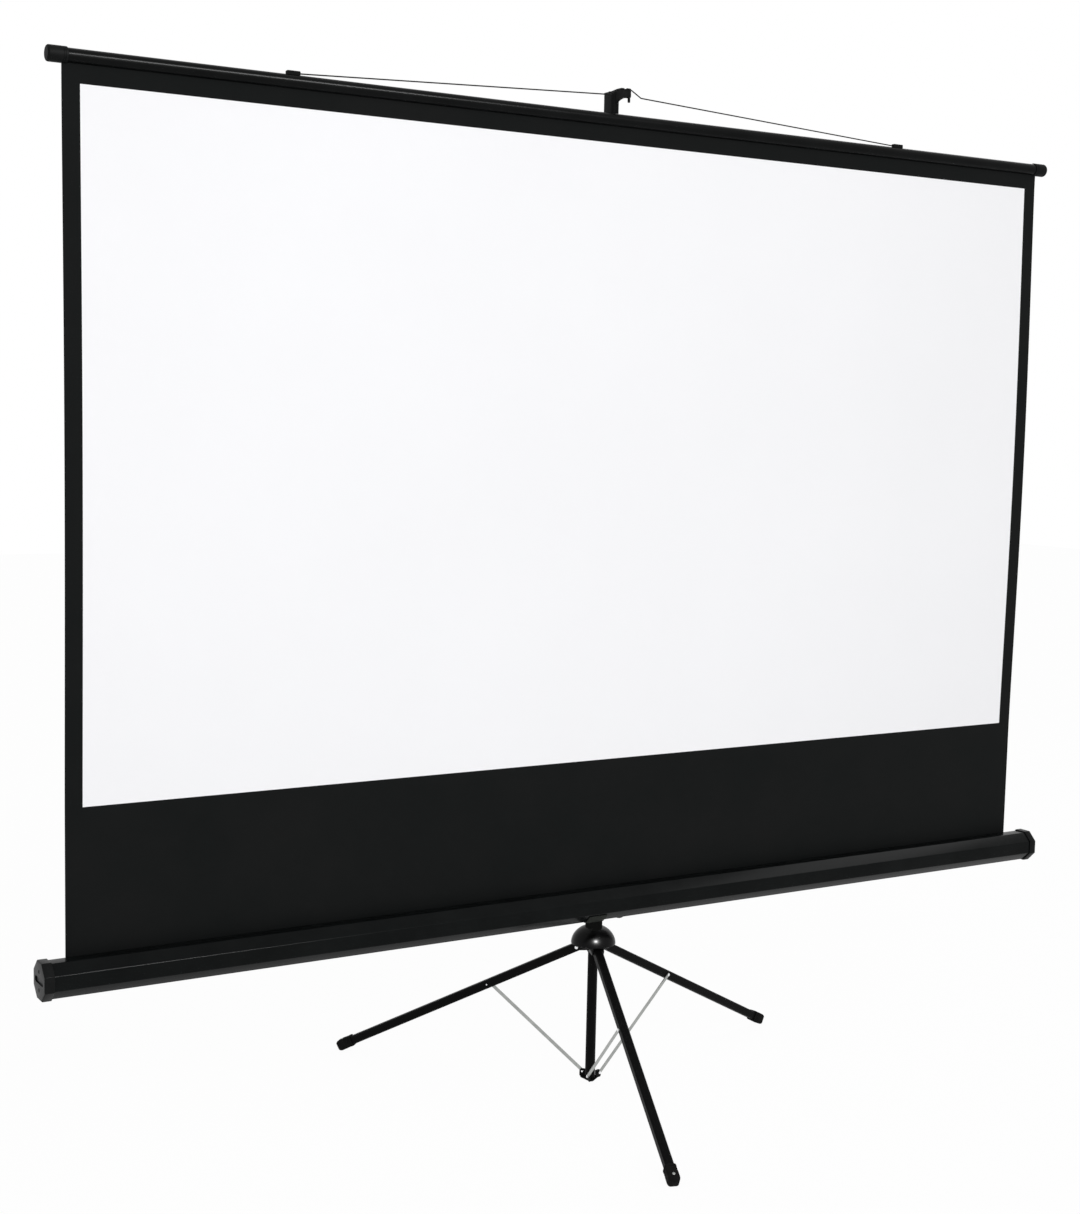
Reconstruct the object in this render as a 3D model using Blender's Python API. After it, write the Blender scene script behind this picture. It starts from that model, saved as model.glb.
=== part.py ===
"""Portable tripod projector screen: a 16:9 roll-up screen hung from a telescopic mast.

Units are metres and +Z is up. The origin is on the floor, under the middle of the whole object.
+X runs along the case to the right, and the white side of the screen faces -Y.
Each physical piece is one object, and each moving group has an empty on its joint's axis.
"""

import math

import bmesh
import bpy
from mathutils import Matrix, Vector

GAP = 0.0003  # between two pieces that touch or slide on each other
ROUND = 24  # sides of a turned piece
FINE = 16  # sides of a rivet, screw, hole or boss

# The screen: a 16:9 white area of the 100-inch class in a black border
IMAGE_W = 2.214
IMAGE_H = 1.245
BORDER = 0.032
IMAGE_LOW = 0.696
CLOTH_Y = 0.024
CLOTH_THICK = 0.0008
CLOTH_HALF = IMAGE_W / 2 + BORDER

# The tripod: three legs round one column
COLUMN_Y = 0.064
COLUMN_R = 0.0105
TUBE_WALL = 0.0012
LEG_AZIMUTHS = {"right": 13.1, "left": 133.1, "front": -106.9}
PIVOT_R = 0.033
PIVOT_Z = 0.286
FOOT_R = 0.566
FOOT_Z = 0.0095
LEG_LEAN = math.atan2(FOOT_R - PIVOT_R, PIVOT_Z - FOOT_Z)  # from straight down
LEG_LENGTH = (PIVOT_Z - FOOT_Z) / math.cos(LEG_LEAN)
LEG_SIDE = 0.018
LEG_WALL = 0.0014
LEG_ROUNDING = 0.0025
FOOT_SIDE = 0.0235
FOOT_GRIP = 0.020  # how far a foot reaches up over its leg's end
TUBE_SHORT = 0.012  # how far a leg's tube ends above its foot's end
PIN_R = 0.003

# The stays that tie the legs to the column's foot, each on the same side of its leg
STAY_DOWN_LEG = 0.222
STAY_WIDTH = 0.007
STAY_THICK = 0.002
STAY_SIDE = LEG_SIDE / 2 + GAP + STAY_THICK / 2  # how far a stay lies beside its leg's plane
RIVET_R = 0.0016
RIVET_HEAD_R = 0.0032
RIVET_HEAD = 0.0015
RIVET_TAIL = 0.001

# The column's foot: a flat three-cornered plate with an upright lug at each corner
LUG_R = 0.0185
LUG_Z = 0.0125
LUG_ROUND = 0.006
LUG_THICK = 0.003
LUG_INNER = 0.0098
LUG_GAP = 0.0008  # between a lug and its stay
TAIL_R = 0.0024  # the rivet's spread tail on the lug's other side
TAIL_RISE = 0.0007
PLATE_LOW = 0.002
PLATE_TOP = 0.004
PLATE_CORNER_R = 0.0158
PLATE_ROUND = 0.0058
PLATE_TURN = 8.0  # how far each corner is turned from its leg towards its lug, in degrees
SPIGOT_TOP = 0.035

# The hub that the legs hinge in: a dome on a flared core, with two cheeks beside each leg
HUB_LOW = 0.278
HUB_RIM = 0.296
HUB_R = 0.047
HUB_TOP = 0.334
HUB_SHOULDER_R = 0.0145
HUB_CORE = ((0.0125, HUB_LOW), (0.0125, 0.280), (0.0138, 0.287), (0.0165, 0.292), (0.020, HUB_RIM))
CHEEK_NEAR = LEG_SIDE / 2 + 2 * GAP
CHEEK_FAR = CHEEK_NEAR + 0.0032
CHEEK_ROUND = 0.0065
CHEEK_INNER = 0.0065 - PIVOT_R

# The column and the two mast tubes inside it
COLUMN_LOW = PLATE_TOP + GAP
COLUMN_TOP = 1.100
COLLAR_H = 0.040
COLLAR_R = 0.0165
KNOB_RISE = 0.004  # how far a collar's knob is above its tube's end
KNOB_REACH = 0.007  # how far a knob's stud starts behind its collar
KNOB_STUD_R = 0.003
BOSS_R = 0.0075
MAST_WALL = 0.001
MAST_LOWER_R = 0.0088
MAST_LOWER_LOW = 0.500
MAST_LOWER_TOP = 1.550
MAST_UPPER_R = 0.0070
MAST_UPPER_LOW = 1.250
MAST_UPPER_TOP = 2.030

# The hook on the mast: a socket with a thin arm that reaches forward over the bar
SOCKET_R = 0.009
SOCKET_BACK = 0.0905
SOCKET_ROUND = 0.003
SOCKET_TOP = 2.049
ARM_HALF = 0.0035
HOOK_LOW = 1.985
HOOK_TOP = 2.0525
WIRE_ON_HOOK = 2.0478
SADDLE_HALF = 0.0045
ARM_BACK = ((0.0830, 2.0450), (0.0830, 2.0505), (0.0800, 2.0515), (0.0725, 2.0505))
ARM_TOP = ((0.0520, HOOK_TOP), (0.0340, HOOK_TOP))
ARM_NOSE = ((0.0178, 2.0490), (0.0144, 2.0490), (0.0105, 2.0480), (0.0092, 2.0466), (0.0088, 2.0318))
ARM_UNDER = ((0.0105, 2.0302), (0.0200, 2.0302), (0.0266, 2.0320), (0.0360, 2.0322), (0.0445, 2.0308))
ARM_ROOT = ((0.0510, 2.0288), (0.0545, 2.0258), (0.0558, 2.0205), (0.0600, 2.0205))
PRONG = ((-0.0018, 0.0092, 2.0205), (0.0018, 0.0145, 2.0370))

# The bar that hangs from the hook by a wire bail
BAR_Z = 1.986
BAR_R = 0.0125
BAR_WALL = 0.0012
BAR_HALF = 1.158
BAR_SLOT = 0.004
BAR_CAP_R = 0.0142
BAR_CAP_INNER = 1.130
BAR_END = 1.165
HEM_ROD_R = 0.004
HEM_LOW = -0.0055  # the cloth's top edge, from the bar's axis
CLIP_X = 0.717
CLIP_Z = 2.0015
WIRE_R = 0.00125
HUMP_HALF = 0.0133  # half the width of the bail's hump at its top
HUMP_FOOT = 0.0372  # half its width at its foot
HUMP_FOOT_Z = 2.0344

# The case and the roller in it
CASE_Y = 0.004
CASE_Z = 0.399
CASE_FLATS = 0.064
CASE_WALL = 0.0015
CASE_HALF = 1.184
SLOT_FRONT = 0.016
SLOT_BACK = 0.025
CAP_FLATS = 0.069
CAP_INNER = 1.174
CAP_END = 1.192
CAP_CHAMFER = 0.0025
CAP_GROOVE = (0.024, 0.0055, 0.0025)  # half its length, half its height and its depth
CAP_BORE_END = CAP_END - 0.005
SCREW_R = 0.0016
SCREW_HEAD_R = 0.0034
SCREW_HEAD = 0.0018
SCREW_RISE = 0.0165
SCREW_LENGTH = 0.004
ROLLER_R = 0.016
ROLLER_WALL = 0.0012
WRAP_R = 0.0192
ROLLER_HALF = 1.150
ROLLER_PIN_R = 0.005
HANDLE_X = (0.115, 0.245)

# The carriage that holds the case on the column
SLEEVE_R = 0.0138
SLEEVE_LOW = HUB_TOP + GAP
SLEEVE_TOP = 0.470
PLATE_FRONT = 0.0452
PLATE_BACK = 0.0482
SWING_X = -0.045
BOLT_R = 0.0042
BRACKET_X = (-0.068, -0.025)
BRACKET_THICK = 0.0022
BRACKET_LIP = 0.80  # how much of the case's lower front face the lip covers
# The rib under the bracket, in (x, z) from the case's axis, and where it starts and ends along y
RIB = ((-0.064, -0.034), (-0.064, -0.044), (-0.060, -0.0475), (-0.052, -0.0485), (-0.0495, -0.054))
RIB_RIGHT = ((-0.0285, -0.054), (-0.0255, -0.0505), (-0.0255, -0.034))
RIB_Y = (-0.0125, -0.0055)

FINISHES = {
    "black_paint": ((0.012, 0.013, 0.013), 0.42, 0.0),
    "gloss_black": ((0.008, 0.008, 0.009), 0.16, 0.0),
    "zinc_steel": ((0.55, 0.56, 0.56), 0.38, 1.0),
    "bright_steel": ((0.62, 0.63, 0.64), 0.22, 1.0),
    "matte_black_plastic": ((0.020, 0.021, 0.021), 0.55, 0.0),
    "rubber": ((0.016, 0.016, 0.017), 0.80, 0.0),
    "black_cloth": ((0.016, 0.017, 0.017), 0.90, 0.0),
    "white_cloth": ((0.88, 0.88, 0.90), 0.85, 0.0),
    "anodised_black": ((0.018, 0.019, 0.020), 0.30, 0.6),
    "raw_aluminium": ((0.70, 0.71, 0.72), 0.35, 1.0),
}


def clear_scene():
    """Remove every object that the file opened with."""
    for obj in list(bpy.data.objects):
        bpy.data.objects.remove(obj, do_unlink=True)


def finish(name):
    """Return the named material, made on first use."""
    found = bpy.data.materials.get(name)
    if found:
        return found
    colour, roughness, metallic = FINISHES[name]
    made = bpy.data.materials.new(name)
    made.use_nodes = True
    shader = made.node_tree.nodes["Principled BSDF"]
    shader.inputs["Base Color"].default_value = (*colour, 1.0)
    shader.inputs["Roughness"].default_value = roughness
    shader.inputs["Metallic"].default_value = metallic
    made.diffuse_color = (*colour, 1.0)
    return made


def empty(name, location, parent=None, turn=0.0):
    """An empty on a joint's axis, turned about +Z by an angle in radians."""
    obj = bpy.data.objects.new(name, None)
    bpy.context.collection.objects.link(obj)
    obj.location = location
    obj.rotation_euler = (0.0, 0.0, turn)
    obj.parent = parent
    return obj


def piece(name, bm, surface, parent, smooth=True):
    """Turn a bmesh, in its parent's frame, into a named object with a finish."""
    bmesh.ops.remove_doubles(bm, verts=bm.verts, dist=0.000001)
    bmesh.ops.recalc_face_normals(bm, faces=bm.faces)
    mesh = bpy.data.meshes.new(name)
    bm.to_mesh(mesh)
    bm.free()
    if smooth:
        mesh.shade_smooth()
        mesh.set_sharp_from_angle(angle=math.radians(35))
    obj = bpy.data.objects.new(name, mesh)
    bpy.context.collection.objects.link(obj)
    obj.parent = parent
    if surface:
        mesh.materials.append(finish(surface))
    return obj


def bevelled(obj, width, segments=2):
    """Round an object's sharp edges."""
    bevel = obj.modifiers.new("rounding", "BEVEL")
    bevel.width = width
    bevel.segments = segments
    bevel.limit_method = "ANGLE"
    bevel.angle_limit = math.radians(40)
    return obj


def combine(obj, operation, tool):
    """Cut a tool out of an object, or join it on, and hide the tool."""
    step = obj.modifiers.new(operation.lower(), "BOOLEAN")
    step.operation = operation
    step.solver = "EXACT"
    step.object = tool
    tool.hide_render = True
    tool.display_type = "WIRE"
    return obj


def loft(rings):
    """A closed solid through rings of equally many points, in order."""
    bm = bmesh.new()
    made = [[bm.verts.new(point) for point in ring] for ring in rings]
    count = len(made[0])
    for near, far in zip(made, made[1:]):
        for i in range(count):
            j = (i + 1) % count
            bm.faces.new((near[i], near[j], far[j], far[i]))
    bm.faces.new(list(reversed(made[0])))
    bm.faces.new(made[-1])
    return bm


def turned(profile, sides=ROUND):
    """A solid turned about +Z from closed (radius, height) points; radius 0 lies on the axis."""
    bm = bmesh.new()
    verts = [bm.verts.new((radius, 0.0, height)) for radius, height in profile]
    edges = [bm.edges.new((a, b)) for a, b in zip(verts, verts[1:])]
    if profile[0][0] > 0 or profile[-1][0] > 0:
        edges.append(bm.edges.new((verts[-1], verts[0])))
    bmesh.ops.spin(
        bm,
        geom=verts + edges,
        cent=(0.0, 0.0, 0.0),
        axis=(0.0, 0.0, 1.0),
        angle=math.tau,
        steps=sides,
        use_merge=True,
    )
    bmesh.ops.remove_doubles(bm, verts=bm.verts, dist=0.000001)
    return bm


def aimed(bm, direction, at=(0.0, 0.0, 0.0)):
    """Turn a shape made along +Z to a direction, and move it."""
    turn = Vector((0.0, 0.0, 1.0)).rotation_difference(Vector(direction)).to_matrix().to_4x4()
    bmesh.ops.transform(bm, matrix=Matrix.Translation(at) @ turn, verts=bm.verts)
    return bm


def tube(outer, inner, low, high, sides=ROUND):
    """A pipe about +Z, with a small chamfer at each outer rim."""
    rim = min(0.0005, (outer - inner) / 3)
    profile = [(inner, low), (outer, low), (outer, high - rim), (outer - rim, high), (inner, high)]
    return turned(profile, sides)


def rod(radius, low, high, sides=FINE):
    """A plain bar about +Z."""
    return turned([(0.0, low), (radius, low), (radius, high), (0.0, high)], sides)


def headed(radius, head_radius, low, high, head, sides=12):
    """A rivet or screw about +Z: a shank from low to high, then a domed head above."""
    profile = [(0.0, low), (radius, low), (radius, high), (head_radius, high)]
    for angle in (math.radians(25), math.radians(58)):
        profile.append((head_radius * math.cos(angle), high + head * math.sin(angle)))
    profile.append((0.0, high + head))
    return turned(profile, sides)


def block(low, high):
    """A box between two corners."""
    bm = bmesh.new()
    bmesh.ops.create_cube(bm, size=1.0)
    size = [b - a for a, b in zip(low, high)]
    middle = [(a + b) / 2 for a, b in zip(low, high)]
    matrix = Matrix.Translation(middle) @ Matrix.Diagonal((*size, 1.0))
    bmesh.ops.transform(bm, matrix=matrix, verts=bm.verts)
    return bm


def prism(outline, plane, low, high):
    """An outline of 2-D points drawn in a plane ("YZ", "XZ" or "XY") and pushed along its normal."""
    place = {
        "YZ": lambda u, v, w: (w, u, v),
        "XZ": lambda u, v, w: (u, w, v),
        "XY": lambda u, v, w: (u, v, w),
    }[plane]
    return loft([[place(u, v, w) for u, v in outline] for w in (low, high)])


def arc(centre, radius, start, end, steps):
    """Points on a circle between two angles in degrees."""
    points = []
    for i in range(steps + 1):
        angle = math.radians(start + (end - start) * i / steps)
        points.append((centre[0] + radius * math.cos(angle), centre[1] + radius * math.sin(angle)))
    return points


def octagon(flats):
    """The eight corners of an octagon with a flat top, counter-clockwise from the top right."""
    half = flats / 2
    side = half * math.tan(math.radians(22.5))
    corners = [(side, half), (-side, half), (-half, side), (-half, -side)]
    return corners + [(-side, -half), (side, -half), (half, -side), (half, side)]


def bent_wire(name, points, radius, surface, parent, resolution=2):
    """A round wire along points, with closed ends."""
    curve = bpy.data.curves.new(name, "CURVE")
    curve.dimensions = "3D"
    curve.bevel_depth = radius
    curve.bevel_resolution = resolution
    curve.use_fill_caps = True
    line = curve.splines.new("POLY")
    line.points.add(len(points) - 1)
    for spot, point in zip(line.points, points):
        spot.co = (*point, 1.0)
    curve.materials.append(finish(surface))
    obj = bpy.data.objects.new(name, curve)
    bpy.context.collection.objects.link(obj)
    obj.parent = parent
    return obj


def star_knob(name, parent):
    """A five-lobed clamp knob with its stud, along +Y from its parent."""
    lobes, radius, depth = 5, 0.0155, 0.0022
    along = (0.0, 1.0, 0.0)
    outline = []
    steps = 30
    for i in range(steps):
        angle = math.tau * i / steps
        reach = radius + depth * math.cos(lobes * angle)
        outline.append((reach * math.cos(angle), reach * math.sin(angle)))
    rings = []
    for height, scale in ((0.010, 0.90), (0.0120, 1.0), (0.0200, 1.0), (0.0215, 0.90)):
        rings.append([(u * scale, v * scale, height) for u, v in outline])
    knob = piece(name, aimed(loft(rings), along), "matte_black_plastic", parent)
    tip = 0.0004 - KNOB_REACH
    profile = [(0.0, tip), (KNOB_STUD_R, tip), (KNOB_STUD_R, 0.004)]
    profile += [(0.0070, 0.0045), (0.0070, 0.0108), (0.0, 0.0108)]
    stud = piece(name + "_stud_tool", aimed(turned(profile, FINE), along), None, parent)
    return combine(knob, "UNION", stud)


def make_hub(root):
    """The hub: a dome on a flared core, with a bore for the column and two cheeks beside each leg."""
    bore = COLUMN_R + GAP
    profile = [(bore, HUB_LOW), *HUB_CORE, (HUB_R - 0.001, HUB_RIM), (HUB_R, HUB_RIM + 0.001)]
    steps = 8
    start = 4
    shoulder = math.degrees(math.acos(HUB_SHOULDER_R / HUB_R))
    for i in range(steps + 1):
        angle = math.radians(start + (shoulder - start) * i / steps)
        rise = (HUB_TOP - HUB_RIM) * math.sin(angle) / math.sin(math.radians(shoulder))
        profile.append((HUB_R * math.cos(angle), HUB_RIM + rise))
    profile.append((bore, HUB_TOP))
    hub = piece("hub_dome", turned(profile, 36), "gloss_black", root)
    hub.location = (0.0, COLUMN_Y, 0.0)
    for side, azimuth in LEG_AZIMUTHS.items():
        make_clevis(side, math.radians(azimuth), hub, root)
    return hub


def make_clevis(side, turn, hub, root):
    """Join one leg's two cheeks to the hub, drill them for the pin and put the pin in."""
    into_dome = HUB_RIM + 0.001 - PIVOT_Z
    outline = [(CHEEK_INNER, into_dome), (CHEEK_INNER, -CHEEK_ROUND / 2), (0.0, -CHEEK_ROUND)]
    outline += arc((0.0, 0.0), CHEEK_ROUND, -75, 0, 5) + [(CHEEK_ROUND, into_dome)]
    blind = CHEEK_FAR - 0.0012
    shapes = {
        "cheek_tool_low_": prism(outline, "XZ", -CHEEK_FAR, -CHEEK_NEAR),
        "cheek_tool_high_": prism(outline, "XZ", CHEEK_NEAR, CHEEK_FAR),
        "pin_hole_tool_": aimed(rod(PIN_R + GAP, -blind, CHEEK_FAR + 0.01), (0.0, 1.0, 0.0)),
    }
    for name, shape in shapes.items():
        tool = place_on_leg(piece(name + side, shape, None, root, smooth=False), turn)
        combine(hub, "DIFFERENCE" if "hole" in name else "UNION", tool)
    shape = headed(PIN_R, PIN_R + 0.0008, -blind + GAP, CHEEK_FAR + GAP, 0.0016)
    place_on_leg(piece("leg_pin_" + side, aimed(shape, (0.0, 1.0, 0.0)), "bright_steel", root), turn)


def place_on_leg(obj, turn):
    """Set an object, drawn about a leg's pivot, where that leg's pivot is."""
    obj.location = on_column(turn, PIVOT_R, PIVOT_Z)
    obj.rotation_euler = (0.0, 0.0, turn)
    return obj


def on_column(azimuth, radius, height):
    """A point at an azimuth in radians and a radius round the column's axis."""
    return (radius * math.cos(azimuth), COLUMN_Y + radius * math.sin(azimuth), height)


def make_leg(side, root):
    """One leg with its foot and the rivet for its stay, drawn along its own lean."""
    turn = math.radians(LEG_AZIMUTHS[side])
    joint = empty("leg_axis_" + side, on_column(turn, PIVOT_R, PIVOT_Z), root, turn)
    lean = Matrix.Rotation(-LEG_LEAN, 4, "Y")
    half = LEG_SIDE / 2
    tube_end = LEG_LENGTH - TUBE_SHORT
    outline = [(half, -tube_end), (half, 0.0)] + arc((0.0, 0.0), half, 0, 180, 10)[1:]
    outline.append((-half, -tube_end))
    body = prism(outline, "XZ", -half, half)
    bmesh.ops.transform(body, matrix=lean, verts=body.verts)
    leg = bevelled(piece("leg_" + side, body, "black_paint", joint), LEG_ROUNDING, 1)
    inner = half - LEG_WALL
    hollow = block((-inner, -inner, -tube_end - 0.01), (inner, inner, -0.025))
    holes = [piece("leg_hollow_tool_" + side, hollow, None, joint, smooth=False)]
    bore = aimed(rod(PIN_R + GAP, -0.03, 0.03), (0.0, 1.0, 0.0))
    holes.append(piece("leg_bore_tool_" + side, bore, None, joint))
    rivet_hole = aimed(rod(RIVET_R + GAP, -0.03, 0.03), (0.0, 1.0, 0.0), (0.0, 0.0, -STAY_DOWN_LEG))
    holes.append(piece("leg_rivet_hole_tool_" + side, rivet_hole, None, joint))
    for hole in holes:
        hole.data.transform(lean)
        combine(leg, "DIFFERENCE", hole)
    under_head = STAY_SIDE + STAY_THICK / 2 + GAP
    rivet = headed(RIVET_R, RIVET_HEAD_R, -half - RIVET_TAIL, under_head, RIVET_HEAD)
    aimed(rivet, (0.0, -1.0, 0.0))
    bmesh.ops.translate(rivet, vec=(0.0, 0.0, -STAY_DOWN_LEG), verts=rivet.verts)
    bmesh.ops.transform(rivet, matrix=lean, verts=rivet.verts)
    piece("stay_rivet_" + side, rivet, "bright_steel", joint)
    make_foot(side, joint, lean)
    return joint


def make_foot(side, joint, lean):
    """The rubber foot: a rounded square boot over the tube's end, cut flat where it stands."""
    half = FOOT_SIDE / 2
    start = -LEG_LENGTH + TUBE_SHORT + FOOT_GRIP
    corner = 0.005
    rings = []
    for height, shrink in ((start, 0.0012), (start - 0.0015, 0.0)):
        rings.append(rounded_square(half - shrink, corner, height))
    steps = 5
    dome = 0.010
    shoulder = dome - LEG_LENGTH - 0.006
    for i in range(steps + 1):
        angle = math.radians(80) * i / steps
        height = shoulder - dome * math.sin(angle)
        rings.append(rounded_square(half * math.cos(angle * 0.75), corner * math.cos(angle), height))
    shape = loft(rings)
    bmesh.ops.transform(shape, matrix=lean, verts=shape.verts)
    foot = piece("foot_" + side, shape, "rubber", joint)
    wide = LEG_SIDE / 2 + GAP
    socket = block((-wide, -wide, -LEG_LENGTH + TUBE_SHORT - GAP), (wide, wide, start + 0.01))
    hollow = piece("foot_socket_tool_" + side, socket, None, joint, smooth=False)
    hollow.data.transform(lean)
    combine(foot, "DIFFERENCE", hollow)
    ground = block((0.3, -0.1, -PIVOT_Z - 0.05), (0.7, 0.1, -PIVOT_Z))
    combine(foot, "DIFFERENCE", piece("ground_tool_" + side, ground, None, joint, smooth=False))
    return foot


def rounded_square(half, corner, height):
    """A square ring of points with round corners, at a height."""
    corner = min(corner, half * 0.9)
    points = []
    for number, (sx, sy) in enumerate(((1, 1), (-1, 1), (-1, -1), (1, -1))):
        centre = (sx * (half - corner), sy * (half - corner))
        points += arc(centre, corner, 90 * number, 90 * number + 90, 3)
    return [(x, y, height) for x, y in points]


def make_stay(side, leg_joint):
    """A flat steel strip from the leg down to the column's foot, with its lower rivet."""
    upper = Vector((math.sin(LEG_LEAN) * STAY_DOWN_LEG, 0.0, -math.cos(LEG_LEAN) * STAY_DOWN_LEG))
    lower = Vector((LUG_R - PIVOT_R, 0.0, LUG_Z - PIVOT_Z))
    run = lower - upper
    length = run.length
    joint = empty("stay_axis_" + side, tuple(upper), leg_joint)
    lean = Matrix.Rotation(math.atan2(-run.x, -run.z), 4, "Y")
    half = STAY_WIDTH / 2
    outline = arc((0.0, 0.0), half, 0, 180, 8) + arc((0.0, -length), half, 180, 360, 8)
    strip = prism(outline, "XZ", -STAY_SIDE - STAY_THICK / 2, -STAY_SIDE + STAY_THICK / 2)
    bmesh.ops.transform(strip, matrix=lean, verts=strip.verts)
    stay = piece("stay_" + side, strip, "zinc_steel", joint, smooth=False)
    for number, drop in enumerate((0.0, length)):
        hole = aimed(rod(RIVET_R + GAP, -0.02, 0.02), (0.0, 1.0, 0.0), (0.0, -STAY_SIDE, -drop))
        bmesh.ops.transform(hole, matrix=lean, verts=hole.verts)
        combine(stay, "DIFFERENCE", piece("stay_hole_tool_%s_%d" % (side, number), hole, None, joint))
    inner = STAY_SIDE - STAY_THICK / 2 - LUG_GAP / 2
    outer = STAY_SIDE + STAY_THICK / 2 + GAP
    rivet = aimed(headed(RIVET_R, RIVET_HEAD_R, inner, outer, RIVET_HEAD), (0.0, -1.0, 0.0))
    bmesh.ops.translate(rivet, vec=(0.0, 0.0, -length), verts=rivet.verts)
    bmesh.ops.transform(rivet, matrix=lean, verts=rivet.verts)
    piece("lug_rivet_" + side, rivet, "bright_steel", joint)


def make_column(root):
    """The column with its three-lug foot and the split collar that clamps the mast."""
    joint = empty("column_axis", (0.0, COLUMN_Y, 0.0), root)
    inner = COLUMN_R - TUBE_WALL
    piece("column_tube", tube(COLUMN_R, inner, COLUMN_LOW, COLUMN_TOP), "black_paint", joint)
    make_column_foot(inner - GAP, joint)
    make_collar("column_collar", COLUMN_R, COLUMN_TOP, MAST_LOWER_R, joint)
    clamp_knob("column", COLLAR_R, COLUMN_TOP + KNOB_RISE, joint)
    return joint


def make_column_foot(spigot_r, joint):
    """The plate that closes the column, with a spigot up the tube and an upright lug for each stay."""
    lug_far = STAY_SIDE - STAY_THICK / 2 - LUG_GAP
    lug_near = lug_far - LUG_THICK
    outline = []
    for azimuth in sorted(LEG_AZIMUTHS.values()):
        heading = azimuth - PLATE_TURN
        angle = math.radians(heading)
        corner = (PLATE_CORNER_R * math.cos(angle), PLATE_CORNER_R * math.sin(angle))
        outline += arc(corner, PLATE_ROUND, heading - 60, heading + 60, 6)
    foot = piece("column_foot", prism(outline, "XY", PLATE_LOW, PLATE_TOP), "matte_black_plastic", joint)
    spigot = rod(spigot_r, PLATE_TOP - 0.001, SPIGOT_TOP, ROUND)
    combine(foot, "UNION", piece("spigot_tool", spigot, None, joint))
    for side, azimuth in LEG_AZIMUTHS.items():
        outline = [(LUG_INNER, PLATE_LOW), (LUG_R + LUG_ROUND - 0.0015, PLATE_LOW)]
        outline += [(LUG_R + LUG_ROUND, PLATE_TOP)] + arc((LUG_R, LUG_Z), LUG_ROUND, 0, 90, 6)
        outline.append((LUG_INNER, LUG_Z + LUG_ROUND))
        lug = piece("lug_tool_" + side, prism(outline, "XZ", -lug_far, -lug_near), None, joint)
        tail = rod(TAIL_R, -lug_near - TAIL_RISE, -lug_near + TAIL_RISE, 12)
        tail = aimed(tail, (0.0, 1.0, 0.0), (LUG_R, 0.0, LUG_Z))
        tail_tool = piece("tail_tool_" + side, tail, None, joint)
        for tool in (lug, tail_tool):
            tool.rotation_euler = (0.0, 0.0, math.radians(azimuth))
            combine(foot, "UNION", tool)
    return foot


def make_collar(name, tube_r, top, inner_r, parent):
    """A collar over a tube's end: a wide lower part, a shoulder, a boss for the knob and a bore above."""
    low = top - COLLAR_H / 2
    high = top + COLLAR_H / 2
    profile = [(tube_r + GAP, low), (COLLAR_R - 0.001, low), (COLLAR_R, low + 0.001)]
    profile += [(COLLAR_R, high - 0.003), (COLLAR_R - 0.003, high), (inner_r + GAP, high)]
    profile += [(inner_r + GAP, top + GAP), (tube_r + GAP, top + GAP)]
    collar = piece(name, turned(profile), "matte_black_plastic", parent)
    return with_boss(collar, inner_r + 0.003, COLLAR_R, top + KNOB_RISE, parent)


def with_boss(obj, start, outer_r, height, parent):
    """Join on the hollow boss that a clamp knob's stud goes through, at the back."""
    shape = tube(BOSS_R, KNOB_STUD_R + 0.0004, start, outer_r + KNOB_REACH - 0.0004, FINE)
    tool = aimed(shape, (0.0, 1.0, 0.0), (0.0, 0.0, height))
    return combine(obj, "UNION", piece(obj.name + "_boss_tool", tool, None, parent))


def clamp_knob(name, outer_r, height, parent):
    """A clamp knob at the back of a collar or sleeve, on its own turning axis."""
    axis = empty(name + "_knob_axis", (0.0, outer_r + KNOB_REACH, height), parent)
    return star_knob(name + "_knob", axis)


def make_mast(carriage):
    """The two mast tubes, their clamp collar and knob, and the hook on top."""
    lower = empty("mast_lower_axis", (0.0, 0.0, 0.0), carriage)
    shape = tube(MAST_LOWER_R, MAST_LOWER_R - MAST_WALL, MAST_LOWER_LOW, MAST_LOWER_TOP)
    piece("mast_lower", shape, "black_paint", lower)
    make_collar("mast_collar", MAST_LOWER_R, MAST_LOWER_TOP, MAST_UPPER_R, lower)
    clamp_knob("mast", COLLAR_R, MAST_LOWER_TOP + KNOB_RISE, lower)
    upper = empty("mast_upper_axis", (0.0, 0.0, 0.0), lower)
    shape = tube(MAST_UPPER_R, MAST_UPPER_R - MAST_WALL, MAST_UPPER_LOW, MAST_UPPER_TOP)
    piece("mast_upper", shape, "bright_steel", upper)
    make_hook(upper)


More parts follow.
